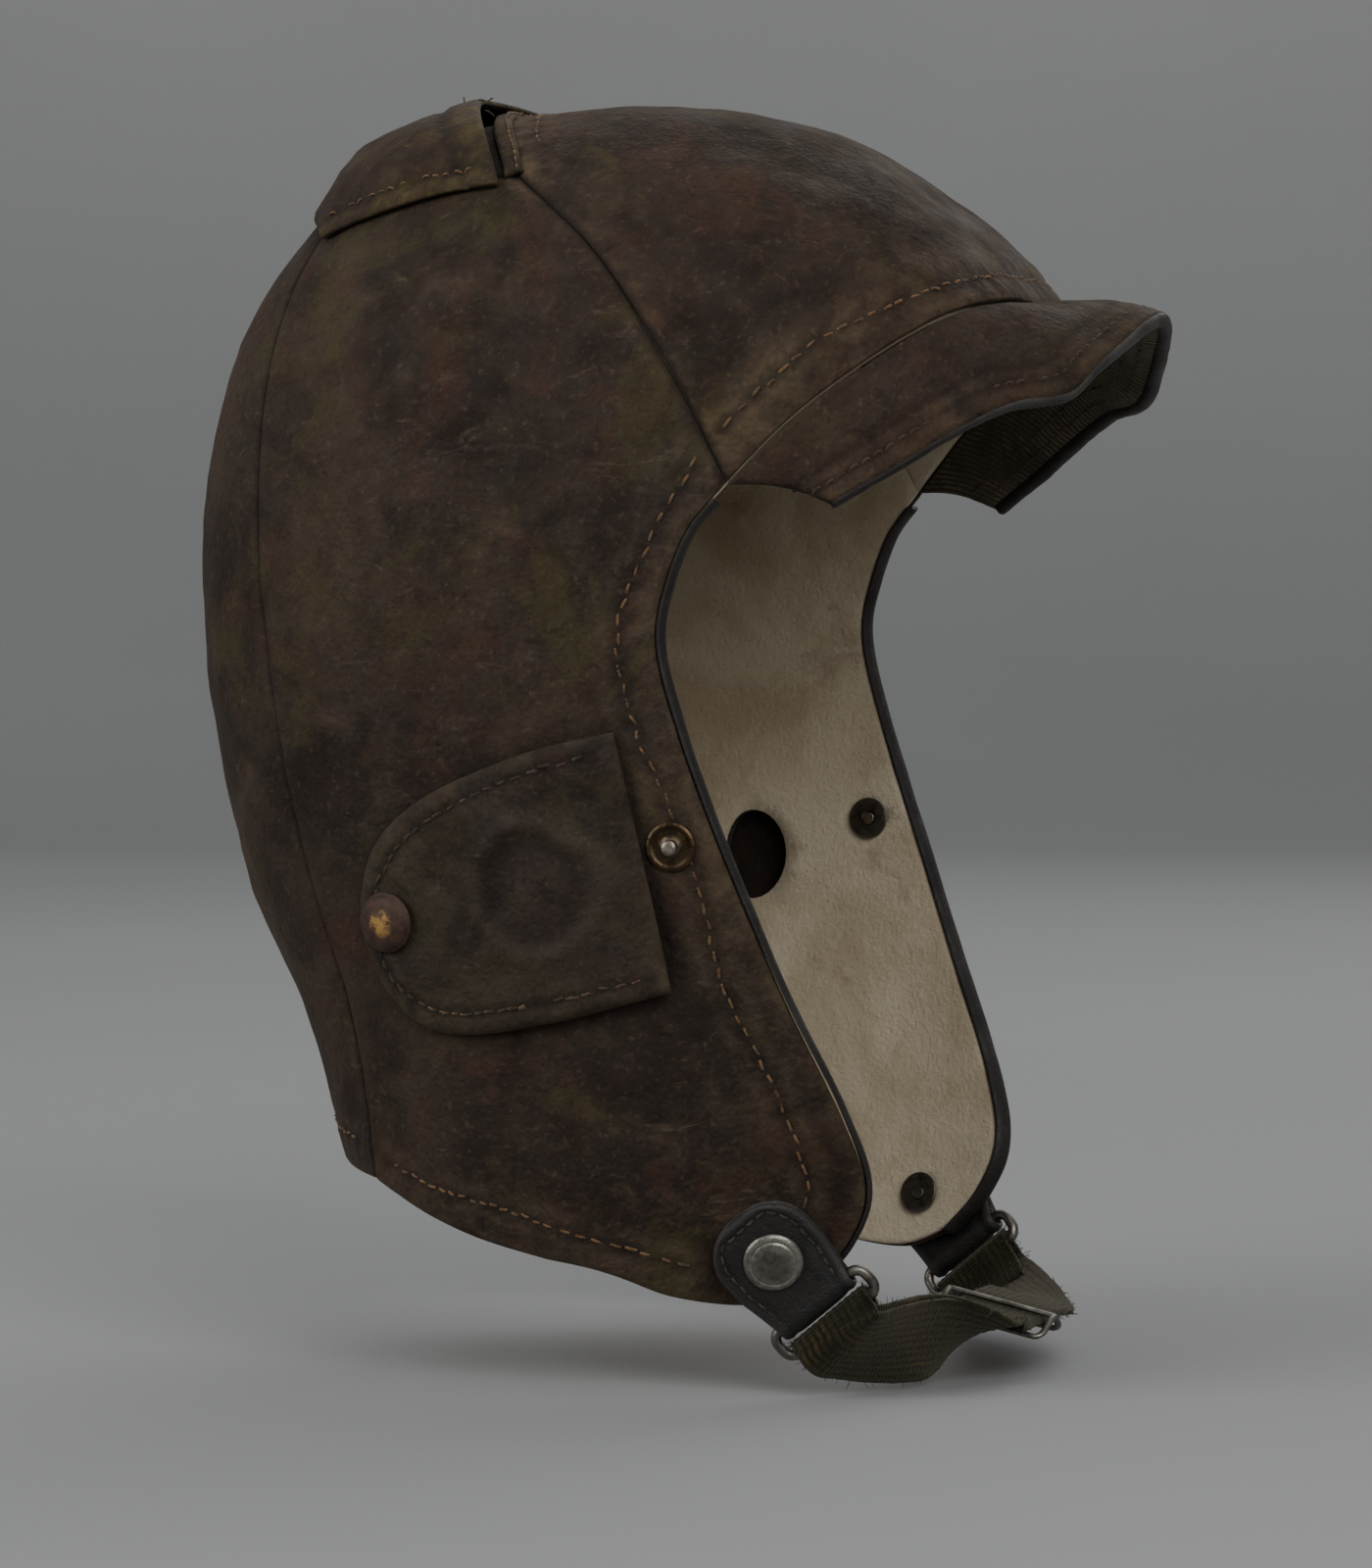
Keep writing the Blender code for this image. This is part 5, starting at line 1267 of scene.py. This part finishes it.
def dress_peak():
    grid = peak_grid(22, 1.3)
    n = grid_normals(grid)
    rows, columns = grid.shape[:2]
    across = travel(grid[-1])
    depth = np.linalg.norm(grid - grid[0], axis=2)
    to_rim = depth[-1][None] - depth
    flat = grid.reshape(-1, 3)
    noise_small = lumps(flat, 7, 151).reshape(rows, columns)
    noise_wide = lumps(flat, 22, 153).reshape(rows, columns)
    soft = 0.28 * noise_small + 0.4 * noise_wide
    edge = np.minimum(to_rim, np.minimum(across, across[-1] - across)[None])
    lines = bell(to_rim, 0.8, 4.2) + bell(to_rim, 0.8, 8.0)
    fade = smooth_step(0, 4, edge) * smooth_step(0, 4, depth)
    top = 0.15 + fade * (0.35 + soft) - 0.20 * lines * smooth_step(1, 4, depth)
    wear = np.clip(0.35 * smooth_step(7, 1, to_rim) + 0.3 * noise_small + 0.2 * bell(to_rim, 1.2, 6.1), 0, 1)
    # Painted shade in the stitch-line grooves of the peak top.
    grid_piece("leather_peak_top", grid, n, top, np.full_like(top, -PEAK_LEATHER), HIDE_FRONT,
               ["peak_leather"], "leather", {"wear": wear, "dirt_and_painted_shade": 0.5 * lines})
    fray = creases(flat, 9, 157).reshape(rows, columns)
    low = PEAK_CLOTH_BOTTOM - fade * (0.15 + 0.25 * noise_wide) + 0.2 * lines * smooth_step(1, 4, depth)
    low = low - 0.25 * fade * fray + 0.6 * (1 - smooth_step(0, 5, to_rim))
    uv = np.stack([np.broadcast_to(across[None] * MM, depth.shape), depth * MM], -1)
    cloth = grid_piece("ribbed_cloth_under_peak", grid, n, np.full_like(low, PEAK_CLOTH_TOP), low, PEAK_WEAVE,
                       ["peak_cloth"], "peak_cloth", {"wear": wear, "dirt_and_painted_shade": lines}, uv)
    rim_binding(grid[-1], n[-1])
    for name, reach, side, seed in (("upper", 4.2, 1, 19), ("lower", 4.2, -1, 20), ("lower_2", 8.0, -1, 22)):
        surface = 0.15 if side > 0 else PEAK_CLOTH_BOTTOM
        row = np.array([points_at(depth[-1, j] - reach, depth[:, j], grid[:, j]) + n[-1, j] * surface
                        for j in range(columns) if depth[-1, j] > reach + 3])
        run_stitches(f"stitches_peak_{name}", row, np.tile((0.0, 0.0, side), (len(row), 1)), THREAD_DARK,
                     "shell", seed)
    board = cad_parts["peak_board"]
    board.data.materials.clear()
    board.data.materials.append(BOARD)


def run_stitches(name, line, up, material, body, seed, pitch=2.9, radius=0.28):
    """Stitches along a line in space."""
    fill = 0.8
    arch = np.array([-0.4, 0.1, 0.22, 0.22, 0.1, -0.4])
    rng = np.random.default_rng(seed)
    travelled = travel(line)
    parts = []
    for k in range(int(travelled[-1] / pitch)):
        where = np.linspace(k * pitch, (k + fill) * pitch, STITCH_STEPS)
        lift = unit(points_at(where, travelled, up))
        parts.append(thread(points_at(where, travelled, line) + lift * arch[:, None] + rng.normal(0, 0.08, 3),
                            radius * rng.uniform(0.85, 1.1)))
    return add_mesh(name, *joined(parts), material, body)


def rim_binding(rim, up):
    """Worn leather piping round the peak's rim, wrinkled and dented."""
    rim = resample_open(rim, 0.8)
    up = unit(points_at(np.linspace(0, 1, len(rim)), np.linspace(0, 1, len(up)), up))
    ahead = unit(np.gradient(rim, axis=0))
    out = unit(np.cross(ahead, up))
    out = -out if out[len(out) // 2][1] > 0 else out
    swell = 1 + 0.12 * lumps(rim, 6, 161) + 0.10 * lumps(rim, 2.6, 163)
    middle, half = (PEAK_CLOTH_BOTTOM + 0.35) / 2, (0.05 - PEAK_CLOTH_BOTTOM - 0.30) / 2
    turn = np.linspace(-0.5 * math.pi, 0.5 * math.pi, 11)
    section = []
    for s in swell:
        bow = [(0.2 + 1.05 * s * math.cos(t), middle + half * s * math.sin(t)) for t in turn]
        section.append([(-1.2, middle - half), *bow, (-1.2, middle + half)])
    points, faces = swept(rim, out, up, np.array(section))
    ahead_of = smooth_step(-72, -104, points[:, 1])
    wear = (0.12 + 0.75 * ahead_of) * (0.45 + 0.55 * np.clip(lumps(points, 5, 165) + 0.3, 0, 1))
    add_mesh("piping_peak_rim", points, faces, EDGE_HIDE, "shell", ["peak_binding"], "leather_dark",
             wear_only(wear))


# ---------------------------------------------------------------- chin strap


def tab_frame(chart):
    stud, n = on_surface(chart, TAB_STUD, TAB_RISE)
    target = TAB_LOOP if chart is side_chart else TAB_LOOP * MIRROR
    towards = target - stud
    run = unit(towards - n * (towards @ n))
    return stud, n, run, np.cross(n, run), towards


def tab_leaves(chart):
    """Middle line of the folded tab in its own plane, the direction across each leaf and its half width."""
    stud, n, run, width, towards = tab_frame(chart)
    reach, drop = towards @ run, towards @ n
    start = -11.5
    along = np.concatenate([start + (1 - np.cos(np.linspace(0, math.pi / 2, 16))) * 9.0,
                            np.linspace(start + 9.6, reach, 26)])
    out = drop * np.clip(along / reach, 0, 1) ** 3.5
    slope = np.gradient(out, along)
    gap = TAB_GAP
    fold = WIRE_RADIUS + BAR_CLEARANCE + 0.5 * TAB_THICKNESS
    spread = gap + (fold - gap) * np.clip(along / along[-1], 0, 1) ** 3
    lean = np.stack([-slope, np.ones_like(slope)], -1) / np.hypot(1, slope)[:, None]
    middle = np.stack([along, out + gap], -1)
    outer, inner = middle + lean * spread[:, None], middle - lean * spread[:, None]
    end, tip_lean = middle[-1], lean[-1]
    tip_run = np.array((tip_lean[1], -tip_lean[0]))
    turn = np.linspace(math.pi / 2, -math.pi / 2, 17)[1:-1]
    bow = np.array([end + fold * (math.cos(t) * tip_run + math.sin(t) * tip_lean) for t in turn])
    path = np.vstack([outer, bow, inner[::-1]])
    round_end = np.sqrt(np.clip(1 - ((start + 9.0 - along) / 9.0).clip(0) ** 2, 0, 1)) ** 0.85
    half = (0.4 + (TAB_HALF_WIDTH - 0.4) * round_end)
    half = half * np.interp(along, [-2.0, 3.0, reach], [1.0, 1.0, TAB_END_HALF_WIDTH / TAB_HALF_WIDTH])
    half = np.concatenate([half, np.full(len(bow), half[-1]), half[::-1]])
    tangent = unit(np.gradient(path, axis=0))
    across = np.stack([-tangent[:, 1], tangent[:, 0]], -1)
    bar = stud + end[0] * run + end[1] * n
    return (stud, n, run, width), path, across, half, len(along), bar, tip_run[0] * run + tip_run[1] * n


def dress_tab(side, chart, body):
    (stud, n, run, width), path, across, half, leaf, bar, onward = tab_leaves(chart)
    count = 26
    s = np.sin(np.linspace(-math.pi / 2, math.pi / 2, count))
    space = stud + path[:, :1] * run + path[:, 1:] * n
    lift = across[:, :1] * run + across[:, 1:] * n
    sections, wears, dirt_and_painted_shades = [], [], []
    for k, h in enumerate(half):
        inset = np.minimum(h * (1 - np.abs(s)), np.linalg.norm(space[k] - space[0]) if k < leaf else 99)
        edge = smooth_step(0, 1.1, inset)
        outer = 0.5 * TAB_THICKNESS * (0.45 + 0.55 * edge) - 0.22 * bell(inset, 0.55, 2.3)
        outer = outer + 0.12 * smooth_step(2.8, 4.5, inset)
        inner = -0.5 * TAB_THICKNESS * (0.45 + 0.55 * edge)
        sections.append([*zip(s * h, outer), *zip(s[::-1] * h, inner[::-1])])
        wear = 0.6 * bell(inset, 0.9)
        # Painted shade: darker in the stitch groove along the tab.
        dirt_and_painted_shade = 0.7 * bell(inset, 0.5, 2.3)
        wears.append([*wear, *wear[::-1]])
        dirt_and_painted_shades.append([*dirt_and_painted_shade, *dirt_and_painted_shade[::-1]])
    points, faces = swept(space, np.tile(width, (len(space), 1)), lift, np.array(sections))
    points = points + 0.10 * lumps(points, 7, 171)[:, None] * n
    add_mesh(f"leather_chin_tab_{side}", points, faces, TAB_HIDE, body, [f"chin_tab_{side}"], "leather_dark",
             {"wear": np.array(wears).ravel(), "dirt_and_painted_shade": np.array(dirt_and_painted_shades).ravel()})
    front, back = [], []
    for k in range(0, leaf - 3):
        h = half[k] - 2.3
        if h > 0.5 and path[k, 0] > -9.5:
            base = space[k] + lift[k] * 0.62
            front.append(base + width * h)
            back.append(base - width * h)
    line = np.array([*front[::-1], *back])
    ups = np.tile(n, (len(line), 1))
    run_stitches(f"stitches_tab_{side}", line, ups, THREAD_DARK, body, 31, pitch=2.6, radius=0.26)
    gap = TAB_GAP
    top = stud + n * (2 * gap + 0.5 * TAB_THICKNESS + 0.3)
    dome = [(0, -0.25), (6.0, -0.25), (6.2, 0.1), (6.1, 0.45), (5.6, 0.85), (4.9, 1.02), (4.6, 0.9),
            (4.2, 1.15), (2.5, 1.5), (0, 1.6)]
    add_turned(f"press_cap_chin_{side}", dome, top, n, STEEL, body, f"chin_tab_snap_cap_{side}", "steel",
               lambda radius: 0.35 + 0.6 * bell(radius, 1.2, 4.9))
    return bar, onward, width


def rounded_rectangle(length, depth, radius):
    out, per_corner = [], 9
    for cx, cy, start in ((1, 1, 0.0), (-1, 1, 0.5), (-1, -1, 1.0), (1, -1, 1.5)):
        for k in range(per_corner + 1):
            t = math.pi * (start + 0.5 * k / per_corner)
            out.append((cx * (length / 2 - radius) + radius * math.cos(t),
                        cy * (depth / 2 - radius) + radius * math.sin(t)))
    return np.array(out)


def dress_loop(side, bar, run, width, body):
    centre = bar + run * LOOP_DEPTH / 2
    flat = resample(rounded_rectangle(LOOP_LENGTH, LOOP_DEPTH, 2.4), 0.7)
    path = centre + flat[:, :1] * width + flat[:, 1:] * run
    up = np.tile(np.cross(width, run), (len(path), 1))
    ring_side, ring_up = frames_along(path, up, closed=True)
    size = 1 + 0.03 * lumps(path, 5, 181)
    section = round_section(WIRE_RADIUS, 16)[None] * size[:, None, None]
    points, faces = swept(path, ring_side, ring_up, section, closed=True)
    wear = 0.35 + 0.5 * np.clip(lumps(points, 4, 183) + 0.3, 0, 1)
    add_mesh(f"wire_loop_chin_{side}", points, faces, STEEL, body, [f"wire_loop_{side}"], "steel",
             wear_only(wear))


def webbing_path(bar, run, width):
    """Middle line of the webbing and the direction across it: tail, right loop, slide, left loop."""
    wrap = WIRE_RADIUS + BAR_CLEARANCE + WEBBING_THICKNESS / 2
    out = unit(np.cross(run, width))
    out = -out if out[0] > 0 else out
    leaf = WEBBING_THICKNESS / 2 + 0.3
    half_turn = np.linspace(-math.pi / 2, math.pi / 2, 7)
    bow = [bar + wrap * (math.cos(t) * -run + math.sin(t) * out) for t in half_turn]
    left_bow = [p * MIRROR for p in bow][::-1]
    hang = np.array((-35.5, -71.5, -153.0))
    hang_out = unit((-0.52, -0.78, -0.35))
    hang_width = unit((-0.03, -0.40, 0.90))
    start = SLIDE_CENTRE - SLIDE_RUN * 17 + (0, 0, -1.5)
    start_out = unit((-0.15, -0.42, -0.90))
    below, above = bar + run * 5 - out * (wrap - 0.2), bar + run * 5 + out * (wrap - 0.2)
    inner_leaf = [start - SLIDE_RUN * 2 - start_out * leaf, hang - hang_out * leaf, below]
    outer_leaf = [above, hang + hang_out * leaf, start + start_out * leaf * 0.6]
    through = [SLIDE_CENTRE + SLIDE_RUN * k for k in (-12.5, -8, 8, 12.5)]
    left_hang = np.array((36.5, -71.0, -152.0)) + unit((0.50, -0.40, -0.75)) * 0.6
    left = [np.array((20.0, -79.3, -151.0)), left_hang, above * MIRROR]
    tail = [below * MIRROR, (bar + run * 10 - out * (wrap + 1.2)) * MIRROR]
    across = SLIDE_WIDTH if SLIDE_WIDTH[1] < 0 else -SLIDE_WIDTH
    at_bar = width if width[1] < 0 else -width
    left_bar = at_bar * MIRROR
    start_width, left_between = unit((0.0, -0.90, 0.42)), unit(across + left_bar)
    widths = [start_width, hang_width, *[at_bar] * (len(bow) + 2), hang_width, start_width, *[across] * 5,
              left_between, *[left_bar] * (len(left_bow) + 3)]
    points = [*inner_leaf, *bow, *outer_leaf, *through, *left, *left_bow, *tail]
    path, side = catmull_rom(points, WEBBING_STEPS), unit(catmull_rom(widths, WEBBING_STEPS))
    ahead = unit(np.gradient(path, axis=0))
    side = unit(side - ahead * (side * ahead).sum(-1)[:, None])
    return path, side, np.cross(ahead, side)


def dress_webbing(bar, run, width):
    path, side, up = webbing_path(bar, run, width)
    travelled = travel(path)
    w, t = WEBBING_WIDTH / 2, WEBBING_THICKNESS / 2
    s = np.linspace(-1, 1, 23)
    frayed = 0.22 * lumps(path, 3.2, 191) + 0.12 * lumps(path, 1.3, 193)
    sections, uv = [], []
    for k, far in enumerate(travelled):
        half = w - 0.15 + frayed[k]
        thick = t * (0.72 + 0.28 * np.clip((1 - np.abs(s)) / 0.10, 0, 1))
        thick = thick * (1 + 0.10 * np.cos(11 * math.pi * s))
        sections.append([*zip(s * half, thick), *zip(s[::-1] * half, -thick[::-1])])
        uv += [(far * MM, a * half * MM) for a in (*s, *s[::-1])]
    points, faces = swept(path, side, up, np.array(sections))
    strap = add_mesh("webbing_chin", points, faces, WEB, "strap", ["chin_webbing"], "webbing",
                     {"wear": 0.3 + 0 * points[:, 0], "dirt_and_painted_shade": 0 * points[:, 0]}, np.array(uv))
    rng = np.random.default_rng(41)
    hairs = []
    for _ in range(WEBBING_HAIRS):
        k = int(rng.integers(4, len(path) - 4))
        edge = rng.choice((-1.0, 1.0))
        start = path[k] + side[k] * edge * (w - 0.25) + up[k] * rng.uniform(-t, t) * 0.8
        drift = unit(side[k] * edge * 0.9 + rng.normal(0, 0.7, 3))
        bend = rng.normal(0, 0.5, 3)
        reach = rng.uniform(0.4, 1.5)
        u = np.linspace(0, 1, 4)[:, None]
        hairs.append(thread(start + reach * (drift * u + bend * u**2), 0.07, 4))
    add_mesh("webbing_fuzz", *joined(hairs), FUZZ, "strap")


def dress_slide():
    out = unit(np.cross(SLIDE_RUN, SLIDE_WIDTH))
    out = -out if out[2] > 0 else out

    def place(flat):
        bow = 4.2 * (np.abs(flat[:, 1]) / 6.5) ** 1.5 - 1.9
        return SLIDE_CENTRE + flat[:, :1] * SLIDE_WIDTH + flat[:, 1:] * SLIDE_RUN + bow[:, None] * out

    bar = 0.75
    ring = resample(rounded_rectangle(2 * (12.4 - bar), 2 * (6.9 - bar), 1.8), 0.6)
    path = place(ring)
    side, up = frames_along(path, np.tile(out, (len(path), 1)), closed=True)
    section = round_section(1.0, 16) * (bar, 0.6)
    parts = [swept(path, side, up, section, closed=True)]
    middle = place(np.stack([np.linspace(-11.9, 11.9, 30), np.zeros(30)], -1))
    side, up = frames_along(middle, np.tile(out, (len(middle), 1)))
    parts.append(swept(middle, side, up, section))
    points, faces = joined(parts)
    wear = 0.45 + 0.5 * np.clip(lumps(points, 4, 195) + 0.3, 0, 1)
    add_mesh("wire_slide", points, faces, STEEL, "slide", ["strap_slide"], "steel", wear_only(wear))


def dress_chin_strap():
    bar, run, width = dress_tab("right", side_chart, "tab_right")
    dress_tab("left", left_chart, "shell")
    dress_loop("right", bar, run, width, "loop_right")
    dress_loop("left", bar * MIRROR, run * MIRROR, width * MIRROR, "loop_left")
    dress_webbing(bar + run * LOOP_DEPTH, run, width)
    dress_slide()


# ---------------------------------------------------------------- stage


def link(obj):
    bpy.context.scene.collection.objects.link(obj)
    return obj


def add_area(name, place, target, size, power):
    light = bpy.data.lights.new(name, "AREA")
    light.shape = "DISK"
    light.size, light.energy = size, power
    obj = link(bpy.data.objects.new(name, light))
    obj.location = place
    obj.rotation_euler = (Vector(target) - Vector(place)).to_track_quat("-Z", "Y").to_euler()


def add_stage(floor_level):
    """A pale round floor that curves up into a wall all the way round; its colour is painted darker on the
    floor and lighter up the wall, as painted shading.
    """
    sides, reach, bend = 96, 2.4, 1.1
    profile = [(r, 0.0) for r in (0.05, 0.4, 0.9, 1.5, 2.0, reach)]
    rising = np.linspace(0.1, math.pi / 2, 14)
    profile += [(reach + bend * math.sin(t), bend - bend * math.cos(t)) for t in rising]
    profile += [(reach + bend, 1.8), (reach + bend, 2.6)]
    turn = np.linspace(0, 2 * math.pi, sides, endpoint=False)
    points = [(0.0, 0.0, floor_level)]
    points += [(r * math.cos(t), r * math.sin(t), floor_level + z) for r, z in profile for t in turn]
    faces = [(0, 1 + k, 1 + (k + 1) % sides) for k in range(sides)]
    for row in range(len(profile) - 1):
        for k in range(sides):
            a, b = 1 + row * sides + k, 1 + row * sides + (k + 1) % sides
            faces.append((a, a + sides, b + sides, b))
    mesh = bpy.data.meshes.new("studio_floor")
    mesh.from_pydata(points, [], faces)
    mesh.polygons.foreach_set("use_smooth", [True] * len(mesh.polygons))
    s = Shade("studio_paper")
    height = s.node("SeparateXYZ", {0: s.coords})["Z"]
    # Painted shading: the paper goes from darker on the floor to lighter up the wall.
    painted_wall_light = s.window(height, floor_level - 0.05, floor_level + 1.3)
    colour = s.mix(painted_wall_light, (0.330, 0.332, 0.333), (0.62, 0.62, 0.62))
    colour = s.mix(s.window(s.noise(2.2, 3, 0.5), 0.3, 0.7, 0.0, 0.08), colour, (0.2, 0.2, 0.2))
    mesh.materials.append(s.done(colour, 0.9, s.bump(s.noise(900, 3, 0.6), 0.0001), specular=0.2))
    link(bpy.data.objects.new("studio_floor", mesh))


CAMERA_TURN, CAMERA_LIFT = math.radians(18), math.radians(2)
CAMERA_DISTANCE, CAMERA_RIGHT, CAMERA_DOWN = 1.300, 0.00833, 0.04167


def add_camera():
    turn, lift = CAMERA_TURN, CAMERA_LIFT
    back = Vector((-math.cos(turn) * math.cos(lift), -math.sin(turn) * math.cos(lift), math.sin(lift)))
    right = Vector((math.sin(turn), -math.cos(turn), 0.0))
    up = back.cross(right)
    data = bpy.data.cameras.new("camera")
    data.lens, data.sensor_width = 140.4, 36.0
    data.clip_start, data.clip_end = 0.05, 20.0
    camera = link(bpy.data.objects.new("camera", data))
    place = back * CAMERA_DISTANCE + right * CAMERA_RIGHT - up * CAMERA_DOWN
    camera.matrix_world = Matrix.Translation(place) @ Matrix((right, up, back)).transposed().to_4x4()
    bpy.context.scene.camera = camera


def add_lights():
    add_area("key", (-1.6, -1.2, 0.95), (0, 0, -0.02), 1.5, 24)
    add_area("left", (-1.35, 1.35, 0.75), (0, 0, -0.03), 1.5, 20)
    add_area("far_side", (1.6, -0.3, 1.2), (0, 0, -0.02), 1.5, 9)
    add_area("top", (0.1, 0.2, 2.2), (0, 0, 0), 2.4, 2.5)
    world = bpy.data.worlds.new("studio_air")
    bpy.context.scene.world = world
    world.use_nodes = True
    air = world.node_tree.nodes["Background"].inputs
    air["Color"].default_value = (0.86, 0.87, 0.88, 1.0)
    air["Strength"].default_value = 0.52


def main():
    dress_panels()
    dress_face_bindings()
    dress_ear_flaps()
    dress_snaps()
    dress_keeper()
    dress_crown_welt()
    dress_peak()
    dress_chin_strap()
    add_stage(CAD_BOX[0][2] - 0.0012)
    add_camera()
    add_lights()


main()
